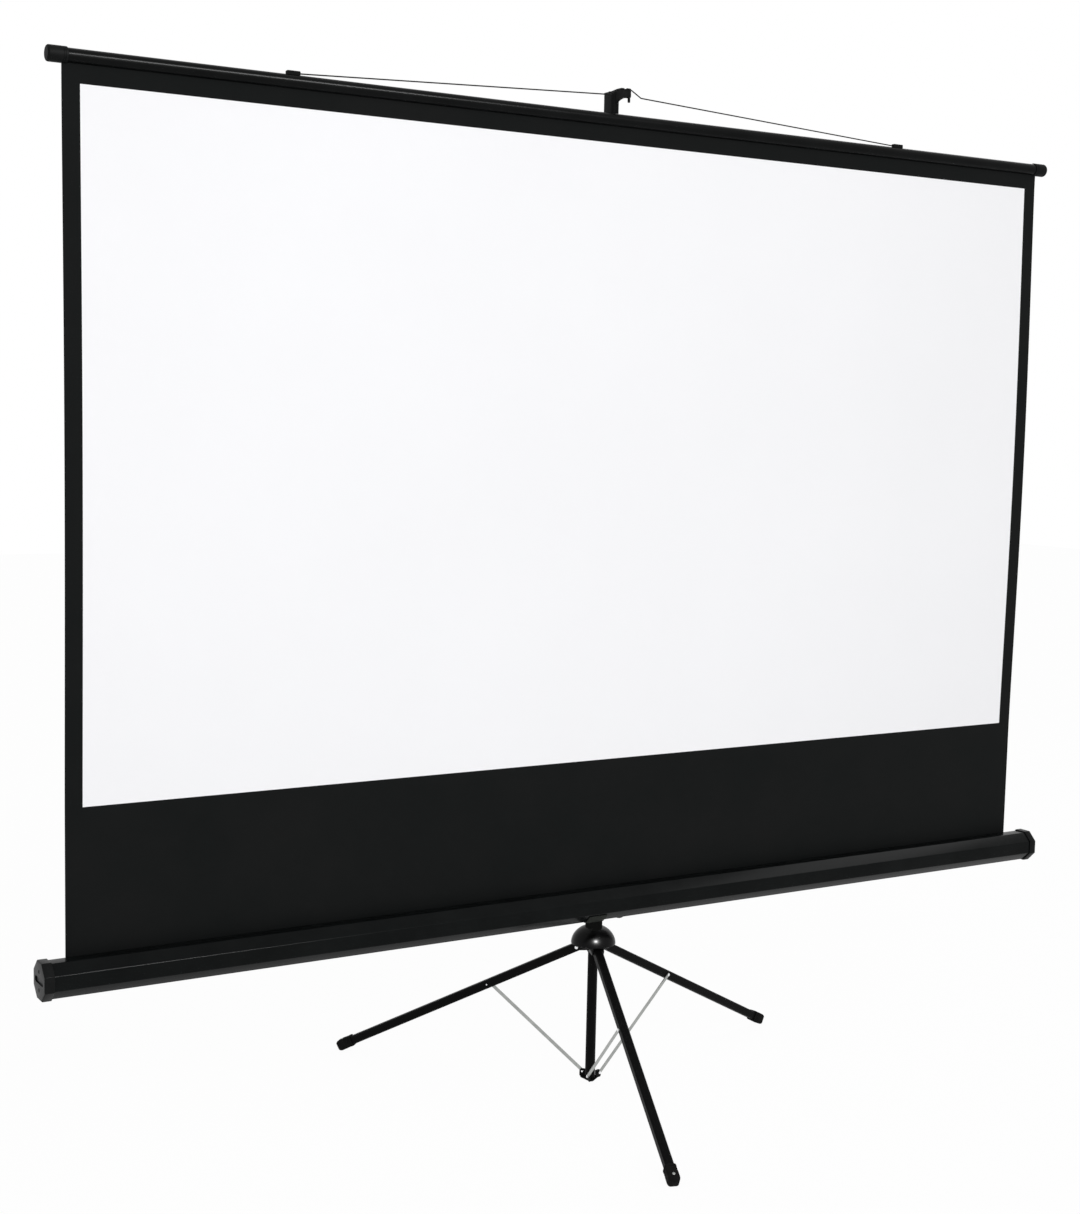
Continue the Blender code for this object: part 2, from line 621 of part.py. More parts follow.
def make_hook(upper):
    """The moulded hook: a socket on the mast with a thin arm that reaches forward over the bar."""
    back = SOCKET_BACK - COLUMN_Y
    corner = SOCKET_R - SOCKET_ROUND
    plan = arc((0.0, 0.0), SOCKET_R, 180, 360, 12)
    plan += arc((corner, back - SOCKET_ROUND), SOCKET_ROUND, 0, 90, 3)
    plan += arc((-corner, back - SOCKET_ROUND), SOCKET_ROUND, 90, 180, 3)
    socket = prism(plan, "XY", HOOK_LOW, SOCKET_TOP)
    hook = bevelled(piece("mast_hook", socket, "matte_black_plastic", upper), 0.0010, 1)
    saddle = WIRE_ON_HOOK - WIRE_R - GAP
    seat = ((CLOTH_Y + SADDLE_HALF, saddle), (CLOTH_Y - SADDLE_HALF, saddle))
    outline = [*ARM_BACK, *ARM_TOP, *seat, *ARM_NOSE, *ARM_UNDER, *ARM_ROOT]
    side = [(y - COLUMN_Y, z) for y, z in reversed(outline)]
    arm = piece("hook_arm_tool", prism(side, "YZ", -ARM_HALF, ARM_HALF), None, upper)
    prong = block(*((x, y - COLUMN_Y, z) for x, y, z in PRONG))
    prong_tool = piece("hook_prong_tool", prong, None, upper)
    for tool in (arm, prong_tool):
        combine(hook, "UNION", bevelled(tool, 0.0006, 1))
    bore = rod(MAST_UPPER_R + GAP, HOOK_LOW - 0.01, MAST_UPPER_TOP + GAP)
    return combine(hook, "DIFFERENCE", piece("hook_bore_tool", bore, None, upper))


def make_carriage(root):
    """The sleeve on the column, its swing plate and bolt, and the clamp knob behind."""
    joint = empty("carriage_axis", (0.0, COLUMN_Y, 0.0), root)
    bore = COLUMN_R + GAP
    shape = tube(SLEEVE_R, bore, SLEEVE_LOW, SLEEVE_TOP)
    sleeve = piece("carriage_sleeve", shape, "matte_black_plastic", joint)
    front = PLATE_BACK + GAP - COLUMN_Y
    wing = [(-0.020, front), (0.034, front), (0.034, front + 0.004), (0.0130, -0.004), (0.0125, 0.004)]
    wing += [(-0.0125, 0.004), (-0.0130, -0.004), (-0.020, front + 0.004)]
    flange = piece("flange_tool", prism(wing, "XY", 0.372, 0.448), None, joint, smooth=False)
    combine(sleeve, "UNION", flange)
    column_room = piece("column_room_tool", rod(bore, 0.30, 0.50, ROUND), None, joint)
    combine(sleeve, "DIFFERENCE", column_room)
    knob_z = SLEEVE_TOP - 0.015
    with_boss(sleeve, COLUMN_R + 0.0015, SLEEVE_R, knob_z, joint)
    clamp_knob("carriage", SLEEVE_R, knob_z, joint)
    make_swing_plate(joint)
    return joint


def make_swing_plate(joint):
    """The link-shaped plate that carries the case, and the bolt that the case swings on."""
    left, left_r = (SWING_X, CASE_Z), 0.0235
    right, right_r = (0.054, 0.3640), 0.0170
    slope = math.degrees(math.atan2(right[1] - left[1], right[0] - left[0]))
    spread = math.degrees(math.acos((left_r - right_r) / math.dist(left, right)))
    outline = arc(left, left_r, slope + spread, slope - spread + 360, 16)
    outline += arc(right, right_r, slope - spread, slope + spread, 12)
    low, high = PLATE_FRONT - COLUMN_Y, PLATE_BACK - COLUMN_Y
    plate = bevelled(piece("swing_plate", prism(outline, "XZ", low, high), "black_paint", joint), 0.0006, 1)
    hole = aimed(rod(BOLT_R + GAP, -0.02, 0.02), (0.0, 1.0, 0.0), (SWING_X, low, CASE_Z))
    combine(plate, "DIFFERENCE", piece("swing_hole_tool", hole, None, joint))
    shank_low = CASE_Y + CASE_FLATS / 2 + GAP + BRACKET_THICK + GAP - COLUMN_Y
    bolt = headed(BOLT_R, 0.0080, shank_low, high + GAP, 0.0050, FINE)
    piece("swing_bolt", aimed(bolt, (0.0, 1.0, 0.0), (SWING_X, 0.0, CASE_Z)), "bright_steel", joint)


def make_case(carriage):
    """The octagonal case: shell, end caps with screws, and the bracket that wraps its middle."""
    case = empty("case_axis", (0.0, CASE_Y - COLUMN_Y, CASE_Z), carriage)
    shell = prism(shell_outline(), "YZ", -CASE_HALF, CASE_HALF)
    piece("case_shell", shell, "black_paint", case, smooth=False)
    for side, way in (("left", -1), ("right", 1)):
        make_case_cap(side, way, case)
    make_case_bracket(case)
    return case


def shell_outline():
    """The folded sheet's section: an octagon with a slot behind its top for the screen."""
    outer, inner = octagon(CASE_FLATS), octagon(CASE_FLATS - 2 * CASE_WALL)
    slant_out = sum(outer[0])
    slant_in = sum(inner[0])
    path = [(SLOT_FRONT, slant_out - SLOT_FRONT), *outer, (SLOT_BACK, slant_out - SLOT_BACK)]
    path += [(SLOT_BACK, slant_in - SLOT_BACK), *reversed(inner), (SLOT_FRONT, slant_in - SLOT_FRONT)]
    return path


def make_case_cap(side, way, case):
    """An octagonal end cap: a small chamfer, a groove across its face, a socket and two sunk screws."""
    sections = [(CAP_INNER, CAP_FLATS - 0.001), (CAP_INNER + 0.0005, CAP_FLATS)]
    sections += [(CAP_END - CAP_CHAMFER, CAP_FLATS), (CAP_END, CAP_FLATS - 2 * CAP_CHAMFER)]
    rings = [[(x * way, y, z) for y, z in octagon(flats)] for x, flats in sections]
    cap = piece("case_cap_" + side, loft(rings), "gloss_black", case, smooth=False)
    inside = octagon(CASE_FLATS + 2 * GAP)
    pocket = [[(x * way, y, z) for y, z in inside] for x in (CAP_INNER - 0.01, CASE_HALF + GAP)]
    half_length, half_height, depth = CAP_GROOVE
    low, high = sorted((way * (CAP_END - depth), way * (CAP_END + 0.01)))
    shapes = {
        "pocket": loft(pocket),
        "groove": block((low, -half_length, -half_height), (high, half_length, half_height)),
        "bore": aimed(rod(ROLLER_PIN_R + GAP, ROLLER_HALF, CAP_BORE_END), (way, 0.0, 0.0)),
    }
    seat = CAP_END - SCREW_HEAD - 2 * GAP
    for number, rise in enumerate((SCREW_RISE, -SCREW_RISE), 1):
        place = ((way, 0.0, 0.0), (0.0, 0.0, rise))
        screw = headed(SCREW_R, SCREW_HEAD_R, seat - SCREW_LENGTH, seat + GAP, SCREW_HEAD)
        piece("cap_screw_%s_%d" % (side, number), aimed(screw, *place), "black_paint", case)
        shank_hole = rod(SCREW_R + GAP, CASE_HALF - 0.005, CAP_END + 0.001, 12)
        shapes["hole_%d" % number] = aimed(shank_hole, *place)
        head_room = rod(SCREW_HEAD_R + GAP, seat, CAP_END + 0.001)
        shapes["sink_%d" % number] = aimed(head_room, *place)
    for name, shape in shapes.items():
        tool = piece("cap_%s_tool_%s" % (name, side), shape, None, case, smooth=False)
        combine(cap, "DIFFERENCE", tool)


def make_case_bracket(case):
    """A steel strap behind and under the case, with a lip up its lower front face and a rib below."""
    near = CASE_FLATS / 2 + GAP
    far = near + BRACKET_THICK
    inner = octagon(2 * near)
    outer = octagon(2 * far)
    # corners: 2 and 3 are the front face's ends, 4 and 5 the bottom's, 6 and 7 the back's
    lip_in = tuple(a + (b - a) * BRACKET_LIP for a, b in zip(inner[4], inner[3]))
    lip_out = tuple(a + (b - a) * BRACKET_LIP for a, b in zip(outer[4], outer[3]))
    path = [lip_in, *inner[4:8], *reversed(outer[4:8]), lip_out]
    bracket = piece("case_bracket", prism(path, "YZ", *BRACKET_X), "black_paint", case, smooth=False)
    rib = prism([*RIB, *RIB_RIGHT], "XZ", *RIB_Y)
    rib_tool = piece("bracket_rib_tool", rib, None, case, smooth=False)
    return combine(bevelled(bracket, 0.0006, 1), "UNION", bevelled(rib_tool, 0.001, 1))


def make_roller(case):
    """The spring roller in the case: tube, wound cloth, torsion spring and the two end pins."""
    roller = empty("roller_axis", (0.0, 0.0, 0.0), case)
    along = (1.0, 0.0, 0.0)
    inner = ROLLER_R - ROLLER_WALL
    body = tube(ROLLER_R, inner, -ROLLER_HALF, ROLLER_HALF)
    piece("roller_tube", aimed(body, along), "raw_aluminium", roller)
    wound = tube(WRAP_R, ROLLER_R + GAP, -CLOTH_HALF, CLOTH_HALF)
    piece("cloth_roll", aimed(wound, along), "black_cloth", roller)
    spring = tube(0.0125, 0.0095, -1.10, -0.50, FINE)
    piece("roller_spring", aimed(spring, along), "bright_steel", roller)
    for side, way in (("left", -1), ("right", 1)):
        profile = [(0.0, ROLLER_HALF - 0.030), (inner - GAP, ROLLER_HALF - 0.030)]
        profile += [(inner - GAP, ROLLER_HALF + GAP), (ROLLER_R, ROLLER_HALF + GAP)]
        profile += [(ROLLER_R, ROLLER_HALF + 0.002), (ROLLER_PIN_R, ROLLER_HALF + 0.002)]
        profile += [(ROLLER_PIN_R, CAP_BORE_END - 0.0005), (0.0, CAP_BORE_END - 0.0005)]
        plug = aimed(turned(profile), (way, 0.0, 0.0))
        piece("roller_end_" + side, plug, "matte_black_plastic", roller)


def make_handle(case):
    """A folding carry handle behind the case, hanging flat on its two mounts."""
    left, right = HANDLE_X
    back = CASE_FLATS / 2 + GAP
    hinge_y, hinge_z = back + 0.0060, 0.008
    joint = empty("handle_axis", (0.0, hinge_y, hinge_z), case)
    reach, bend, turn, radius = 0.034, 0.010, 0.007, 0.0040
    side = [(left - 0.0125, 0.0)] + arc((left, -turn), turn, 90, 0, 4)
    side += arc((left + turn + bend, -reach + bend), bend, 180, 270, 5)
    middle = (left + right) / 2
    points = [(x, 0.0, z) for x, z in side] + [(2 * middle - x, 0.0, z) for x, z in reversed(side)]
    bent_wire("carry_handle", points, radius, "matte_black_plastic", joint)
    for name, way in (("left", -1), ("right", 1)):
        near = middle + way * (middle - left + 0.0015)
        low, high = sorted((near, near + way * 0.012))
        lug = block((low, back, hinge_z - 0.0085), (high, hinge_y + 0.0068, hinge_z + 0.0085))
        mount = bevelled(piece("handle_mount_" + name, lug, "matte_black_plastic", case), 0.001, 1)
        hole = aimed(rod(radius + GAP, low - 0.01, high + 0.01), (1.0, 0.0, 0.0), (0.0, hinge_y, hinge_z))
        combine(mount, "DIFFERENCE", piece("mount_hole_tool_" + name, hole, None, case))


def make_top_bar(carriage):
    """The bar at the screen's top edge: slotted tube, hem rod, caps, clips and the wire bail."""
    bar = empty("top_bar_axis", (0.0, CLOTH_Y - COLUMN_Y, BAR_Z), carriage)
    along = (1.0, 0.0, 0.0)
    open_half = math.degrees(math.asin(BAR_SLOT / 2 / BAR_R))
    inner_r = BAR_R - BAR_WALL
    inner_half = math.degrees(math.asin(BAR_SLOT / 2 / inner_r))
    outline = arc((0.0, 0.0), BAR_R, -90 + open_half, 270 - open_half, ROUND)
    outline += arc((0.0, 0.0), inner_r, 270 - inner_half, -90 + inner_half, ROUND)
    piece("top_bar", prism(outline, "YZ", -BAR_HALF, BAR_HALF), "anodised_black", bar)
    hem = rod(HEM_ROD_R, -CLOTH_HALF, CLOTH_HALF, 16)
    hem_z = HEM_LOW + HEM_ROD_R + GAP
    piece("hem_rod", aimed(hem, along, (0.0, 0.0, hem_z)), "bright_steel", bar)
    for side, way in (("left", -1), ("right", 1)):
        make_bar_end(side, way, bar)
        make_clip(side, way, bar)
    make_bail(bar)
    return bar


def make_bar_end(side, way, bar):
    """A push-on cap over the bar's end, with a rounded nose."""
    bore = BAR_R + GAP
    nose = 0.004
    profile = [(bore, BAR_CAP_INNER), (BAR_CAP_R - 0.0006, BAR_CAP_INNER)]
    profile += [(BAR_CAP_R, BAR_CAP_INNER + 0.001), (BAR_CAP_R, BAR_END - nose)]
    for i in range(1, 3):
        angle = math.radians(90) * i / 3
        profile.append((BAR_CAP_R - nose * (1 - math.cos(angle)), BAR_END - nose + nose * math.sin(angle)))
    profile += [(BAR_CAP_R - nose, BAR_END), (0.0, BAR_END), (0.0, BAR_HALF + GAP), (bore, BAR_HALF + GAP)]
    cap = piece("bar_cap_" + side, aimed(turned(profile), (way, 0.0, 0.0)), "matte_black_plastic", bar)
    # the hem's cloth reaches into the cap's mouth, so the cap has a notch under it
    low, high = sorted((way * (BAR_CAP_INNER - 0.01), way * (CLOTH_HALF + 0.0006)))
    notch = block((low, -0.0014, -0.02), (high, 0.0014, 0.0))
    return combine(cap, "DIFFERENCE", piece("cap_notch_tool_" + side, notch, None, bar, smooth=False))


def make_clip(side, way, bar):
    """A low saddle on the bar that one end of the bail turns in."""
    rise = CLIP_Z - BAR_Z
    shape = block((-0.013, -0.0050, 0.006), (0.013, 0.0050, rise + 0.0038))
    clip = bevelled(piece("bail_clip_" + side, shape, "matte_black_plastic", bar), 0.0012, 1)
    clip.location = (way * CLIP_X, 0.0, 0.0)
    tube_room = aimed(rod(BAR_R + GAP, -0.03, 0.03, 36), (1.0, 0.0, 0.0))
    seat = piece("clip_seat_tool_" + side, tube_room, None, bar)
    seat.location = clip.location
    combine(clip, "DIFFERENCE", seat)
    hole = aimed(rod(WIRE_R + GAP, -0.005, 0.02, 16), (-way, 0.0, 0.0), (0.0, 0.0, rise))
    drill = piece("clip_hole_tool_" + side, hole, None, bar)
    drill.location = clip.location
    return combine(clip, "DIFFERENCE", drill)


def make_bail(bar):
    """The wire bail: straight from each clip up to a hump over the hook's arm."""
    rise = CLIP_Z - BAR_Z
    peak = WIRE_ON_HOOK - CLIP_Z
    shoulder = HUMP_FOOT_Z - CLIP_Z
    joint = empty("bail_axis", (0.0, 0.0, rise), bar)
    half = [(0.0, peak), (HUMP_HALF - 0.0015, peak), (HUMP_HALF + 0.0013, peak - 0.0008)]
    half += [(HUMP_FOOT - 0.0012, shoulder + 0.0007), (HUMP_FOOT + 0.0015, shoulder)]
    half += [(CLIP_X - 0.020, 0.0004), (CLIP_X - 0.0165, 0.0), (CLIP_X + 0.002, 0.0)]
    points = [(-x, 0.0, z) for x, z in reversed(half[1:])] + [(x, 0.0, z) for x, z in half]
    bent_wire("bail_wire", points, WIRE_R, "black_paint", joint)


def make_cloth(case):
    """The screen cloth from the roller up to the hem, one thin sheet with its border and drop."""
    high = BAR_Z + HEM_LOW - CASE_Z
    y = CLOTH_Y - CASE_Y
    half = CLOTH_THICK / 2
    sheet = block((-CLOTH_HALF, y - half, 0.0), (CLOTH_HALF, y + half, high))
    piece("screen_cloth", sheet, "white_cloth", case, smooth=False)


def main():
    """Build every piece."""
    clear_scene()
    root = empty("tripod_axis", (0.0, 0.0, 0.0))
    make_hub(root)
    for side in LEG_AZIMUTHS:
        make_stay(side, make_leg(side, root))
    make_column(root)
    carriage = make_carriage(root)
    case = make_case(carriage)
    make_roller(case)
    make_handle(case)
    make_cloth(case)
    make_mast(carriage)
    make_top_bar(carriage)


main()
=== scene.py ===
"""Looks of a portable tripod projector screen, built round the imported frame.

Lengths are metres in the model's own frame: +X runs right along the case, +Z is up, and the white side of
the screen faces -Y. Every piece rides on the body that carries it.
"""

import logging
from collections.abc import Sequence
from dataclasses import dataclass
from enum import Enum
from math import acos, asin, atan2, cos, degrees, exp, pi, radians, sin, tan, tau

import bmesh
import bpy
from mathutils import Matrix, Vector


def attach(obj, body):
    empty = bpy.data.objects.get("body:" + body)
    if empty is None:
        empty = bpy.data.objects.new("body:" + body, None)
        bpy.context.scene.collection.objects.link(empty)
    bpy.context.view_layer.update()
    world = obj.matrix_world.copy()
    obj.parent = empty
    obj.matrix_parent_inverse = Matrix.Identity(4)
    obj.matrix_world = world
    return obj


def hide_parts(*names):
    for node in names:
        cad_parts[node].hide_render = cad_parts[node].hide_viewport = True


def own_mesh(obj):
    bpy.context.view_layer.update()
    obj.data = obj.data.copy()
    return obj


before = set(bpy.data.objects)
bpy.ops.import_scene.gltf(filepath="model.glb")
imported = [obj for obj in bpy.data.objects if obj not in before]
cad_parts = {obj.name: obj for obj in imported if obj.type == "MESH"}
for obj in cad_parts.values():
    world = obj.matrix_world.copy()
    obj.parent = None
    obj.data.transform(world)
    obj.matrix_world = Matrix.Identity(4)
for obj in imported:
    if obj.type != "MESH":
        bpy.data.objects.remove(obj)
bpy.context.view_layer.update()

LOG = logging.getLogger("projector_screen")
GAP = 0.0003
WELD = 0.000001
COLUMN_Y = 0.064
CLOTH_Y = 0.024
BAR_Z = 1.986
CASE_Y = 0.004
CASE_Z = 0.399
# The height on the bracket below which its coat has painted shade, under the case
BRACKET_SHADE_LINE = CASE_Z - 0.0338
SHARP_ANGLE = 35.0
FACET_ANGLE = 30.0
CLOTH_ANGLE = 40.0
BEVEL_ANGLE = 40.0
BEVELLED_ANGLE = 50.0
BACKWARD = (0.0, 1.0, 0.0)
AT_COLUMN = Matrix.Translation((0.0, COLUMN_Y, 0.0))

Point = tuple[float, float, float]
Flat = tuple[float, float]
Shape = bmesh.types.BMesh
Piece = bpy.types.Object
Tree = bpy.types.NodeTree
Socket = bpy.types.NodeSocket


class Named(Enum):
    """A choice whose name is part of the frame's names."""

    @property
    def word(self) -> str:
        """The name as the frame's nodes have it."""
        return self.name.lower()


class Side(Named):
    """The two ends of the screen, by the way that each faces along X."""

    LEFT = -1
    RIGHT = 1


class Leg(Named):
    """The three legs, by azimuth round the column in degrees."""

    LEFT = 133.1
    FRONT = -106.9
    RIGHT = 13.1


class Plane(Enum):
    """The plane of an outline: which of its two coordinates and the depth give X, Y and Z."""

    YZ = (2, 0, 1)
    XZ = (0, 2, 1)
    XY = (0, 1, 2)


class Working(Enum):
    """How a tool acts on a piece."""

    CUT = "DIFFERENCE"
    JOIN = "UNION"


# Colour and shader nodes


def linear(code: str) -> tuple[float, float, float, float]:
    """Turn an sRGB hex colour, a hash sign and six digits, into linear RGBA."""
    channels = [int(code[start:start + 2], 16) / 255 for start in (1, 3, 5)]
    return (*(v / 12.92 if v <= 0.04045 else ((v + 0.055) / 1.055) ** 2.4 for v in channels), 1.0)


def per_mm(size: float) -> float:
    """The texture scale that gives features of a size in millimetres, on coordinates in metres."""
    return 1000.0 / size


def add_node(
    tree: Tree, kind: str, settings: dict | None = None, values: dict | None = None, links: dict | None = None
) -> bpy.types.Node:
    """Add one node with its settings, values and links.

    Args:
        tree: the node tree.
        kind: Blender's type name after ShaderNode.
        settings: the node's own properties.
        values: default values, by input.
        links: sockets that feed it, by input.

    Returns:
        The node.
    """
    node = tree.nodes.new(f"ShaderNode{kind}")
    for name, value in (settings or {}).items():
        setattr(node, name, value)
    for key, value in (values or {}).items():
        node.inputs[key].default_value = value
    for key, socket in (links or {}).items():
        tree.links.new(socket, node.inputs[key])
    return node


@dataclass(frozen=True)
class Finish:
    """A real material: two tones that drift into each other, a grain, and a shader."""

    name: str
    slot: str
    tone: str
    tone_two: str
    roughness: float
    roughness_two: float
    metallic: float = 0.0
    specular: float = 0.5
    patch_mm: float = 30.0
    grain_mm: float = 0.8
    grain_depth_mm: float = 0.02
    stretch: Point = (1.0, 1.0, 1.0)

    def grain(self, tree: Tree, place: Socket) -> Socket:
        """The height of the grain, from 0 to 1, at a place in metres."""
        drawn = add_node(tree, "Mapping", {}, {"Scale": self.stretch}, {"Vector": place}).outputs["Vector"]
        return add_node(tree, "TexNoise", {},
                        {"Scale": per_mm(self.grain_mm), "Detail": 2.0, "Roughness": 0.55},
                        {"Vector": drawn}).outputs["Fac"]

    def shaded(self, tree: Tree, place: Socket, colour: Socket) -> Socket:
        """The colour at each place: the drifting tones as they are."""
        return colour

    def material(self) -> bpy.types.Material:
        """This finish's material, made on first use.

        Returns:
            The material.
        """
        found = bpy.data.materials.get(self.name)
        if found:
            return found
        made = bpy.data.materials.new(self.name)
        made.use_nodes = True
        tree = made.node_tree
        place = add_node(tree, "TexCoord").outputs["Object"]
        values = {"Scale": per_mm(self.patch_mm), "Detail": 3.0, "Roughness": 0.6}
        patch = add_node(tree, "TexNoise", {}, values, {"Vector": place}).outputs["Fac"]
        tones = add_node(tree, "ValToRGB", {}, {}, {"Fac": patch})
        for stop, position, tone in zip(tones.color_ramp.elements, (0.35, 0.65), (self.tone, self.tone_two)):
            stop.position = position
            stop.color = linear(tone)
        values = {"To Min": self.roughness, "To Max": self.roughness_two}
        polish = add_node(tree, "MapRange", {}, values, {"Value": patch})
        values = {"Strength": 1.0, "Distance": self.grain_depth_mm / 1000}
        bump = add_node(tree, "Bump", {}, values, {"Height": self.grain(tree, place)})
        shader = tree.nodes["Principled BSDF"].inputs
        tree.links.new(self.shaded(tree, place, tones.outputs["Color"]), shader["Base Color"])
        tree.links.new(polish.outputs["Result"], shader["Roughness"])
        tree.links.new(bump.outputs["Normal"], shader["Normal"])
        shader["Metallic"].default_value = self.metallic
        shader["Specular IOR Level"].default_value = self.specular
        made.diffuse_color = linear(self.tone)
        return made


@dataclass(frozen=True)
class DippedFinish(Finish):
    """A grey-black coat, with painted shade below a height that turns it nearly black."""

    # Where the painted shade starts, how soft its edge is, and how dark it makes the coat
    line: float = 0.0
    fade: float = 0.0008
    black: float = 0.12

    def shaded(self, tree: Tree, place: Socket, colour: Socket) -> Socket:
        """The colour at each place.

        Args:
            tree: the material's node tree.
            place: coordinates in metres.
            colour: the coat's colour above the line.

        Returns:
            The colour, darkened below the line by painted shade.
        """
        height = add_node(tree, "SeparateXYZ", {}, {}, {"Vector": place}).outputs["Z"]
        values = {"From Min": self.line - self.fade, "From Max": self.line, "To Min": self.black}
        level = add_node(tree, "MapRange", {}, values, {"Value": height}).outputs["Result"]
        shade_painted_below = add_node(tree, "VectorMath", {"operation": "MULTIPLY"}, {}, {0: colour, 1: level})
        return shade_painted_below.outputs["Vector"]


@dataclass(frozen=True)
class WovenFinish(Finish):
    """A coated cloth: its base weave shows through the coat as crossing threads."""

    thread_mm: float = 1.6

    def grain(self, tree: Tree, place: Socket) -> Socket:
        """The weave under the coat.

        Args:
            tree: the material's node tree.
            place: coordinates in metres.

        Returns:
            Its height, from 0 to 1.
        """
        values = {"Scale": per_mm(self.thread_mm) / tau, "Distortion": 0.4, "Detail": 1.0}
        bands = {}
        for number, way in enumerate("XZ"):
            wave = add_node(tree, "TexWave", {"bands_direction": way}, values, {"Vector": place})
            bands[number] = wave.outputs["Fac"]
        both = add_node(tree, "Math", {"operation": "ADD"}, {}, bands)
        return add_node(tree, "Math", {"operation": "MULTIPLY"}, {1: 0.5}, {0: both.outputs[0]}).outputs[0]


# Polyester powder coat, baked on steel: satin, with a slight orange peel drawn at 2.5 mm so that it shows
POWDER_COAT = Finish("powder_coated_steel", "black_paint", "#080808", "#0c0c0c", 0.40, 0.50, specular=0.04,
                     patch_mm=60.0, grain_mm=2.5)
# The same coat on the case's folded sheet, a little glossier, so that its folds catch the light
CASE_COAT = Finish("powder_coated_case_sheet", "black_paint", "#0b0d0d", "#101212", 0.18, 0.24, specular=0.05,
                   patch_mm=90.0, grain_mm=3.0, grain_depth_mm=0.008)
# A thinner grey-black coat on the bracket, lighter and duller than the case beside it, with painted shade on
# its underside
BRACKET_COAT = DippedFinish("rubbed_bracket_coat", "black_paint", "#262825", "#30322f", 0.55, 0.68,
                            specular=0.03, patch_mm=14.0, grain_mm=2.0, line=BRACKET_SHADE_LINE)
# Blackened steel screws and wire: dark, with a dull metal shine
BLACKENED_STEEL = Finish("blackened_steel", "black_paint", "#0e0e0e", "#161616", 0.38, 0.48, metallic=0.4,
                         specular=0.1, patch_mm=8.0, grain_mm=0.9, grain_depth_mm=0.008)
# ABS from a polished mould: deep black with a soft-edged highlight
POLISHED_ABS = Finish("polished_abs", "gloss_black", "#080808", "#0b0b0c", 0.26, 0.30, specular=0.08,
                      grain_mm=9.0, grain_depth_mm=0.006)
# ABS from a satin mould, as the case's end caps have it: broad, soft reflections
SATIN_ABS = Finish("satin_abs", "gloss_black", "#0f1010", "#141515", 0.30, 0.38, specular=0.07, patch_mm=25.0,
                   grain_mm=1.5, grain_depth_mm=0.01)
# Nylon from a spark-eroded mould: a fine even grain, drawn at 0.9 mm so that it shows
GRAINED_NYLON = Finish("grained_nylon", "matte_black_plastic", "#0c0d0d", "#121313", 0.52, 0.62,
                       specular=0.06, grain_mm=0.9, grain_depth_mm=0.05)
# Compression-moulded rubber: dull, with a dusty bloom
MOULDED_RUBBER = Finish("moulded_rubber", "rubber", "#0f0f0f", "#161615", 0.72, 0.85, specular=0.06,
                        patch_mm=12.0, grain_depth_mm=0.06)
# Zinc-plated steel, dull grey and faintly mottled
ZINC_STRIP = Finish("zinc_plated_strip", "zinc_steel", "#9c9e9c", "#aaaca9", 0.36, 0.46, metallic=1.0,
                    patch_mm=11.0, grain_mm=1.4, grain_depth_mm=0.008)
# Nickel-plated steel: bright, with a faint drawn grain
NICKEL_PLATE = Finish("nickel_plated_steel", "bright_steel", "#e2e3e4", "#eeeff0", 0.12, 0.22, metallic=1.0,
                      patch_mm=18.0, grain_mm=1.5, grain_depth_mm=0.004)
# Black anodised aluminium extrusion: a satin black with a sharp line of light, and die lines along X
ANODISED_BAR = Finish("anodised_aluminium", "anodised_black", "#090a0a", "#0d0e0e", 0.22, 0.28, metallic=0.1,
                      specular=0.06, patch_mm=80.0, grain_depth_mm=0.004, stretch=(0.02, 1.0, 1.0))
# Drawn aluminium tube, left bare inside the case
DRAWN_TUBE = Finish("drawn_aluminium", "raw_aluminium", "#c4c6c8", "#d4d6d8", 0.30, 0.42, metallic=1.0,
                    patch_mm=50.0, grain_depth_mm=0.01, stretch=(0.02, 1.0, 1.0))
# Matt white PVC coat on glass cloth: the weave shows faintly through it, drawn at 1.6 mm
WHITE_PVC = WovenFinish("matt_white_pvc", "white_cloth", "#f4f4f6", "#f6f6f8", 0.82, 0.90, specular=0.2,
                        patch_mm=900.0, grain_depth_mm=0.006)
# The black mask printed on the same cloth, a touch smoother than the white
BLACK_MASK = WovenFinish("printed_black_mask", "white_cloth", "#101212", "#141515", 0.62, 0.72, specular=0.06,
                         patch_mm=200.0, grain_depth_mm=0.012)
# The light-tight black backing, also the face of the wound cloth
BLACK_BACKING = WovenFinish("black_backing", "black_cloth", "#0e0f0f", "#131414", 0.75, 0.85, specular=0.06,
                            patch_mm=150.0)


# Shapes


def octagon(flats: float) -> list[Flat]:
    """The corners of an octagon of a size across its flats, counter-clockwise from the top right."""
    u, v = flats / 2 * tan(radians(22.5)), flats / 2
    return [(u, v), (-u, v), (-v, u), (-v, -u), (-u, -v), (u, -v), (v, -u), (v, u)]


def oblong(left: float, right: float, low: float, high: float) -> list[Flat]:
    """The corners of an oblong, counter-clockwise from the lower left."""
    return [(left, low), (right, low), (right, high), (left, high)]


def arc(centre: Flat, radius: float, start: float, end: float, steps: int) -> list[Flat]:
    """Points on a circle at even steps from a start angle to an end angle, both in degrees."""
    angles = [radians(start + (end - start) * i / steps) for i in range(steps + 1)]
    return [(centre[0] + radius * cos(angle), centre[1] + radius * sin(angle)) for angle in angles]


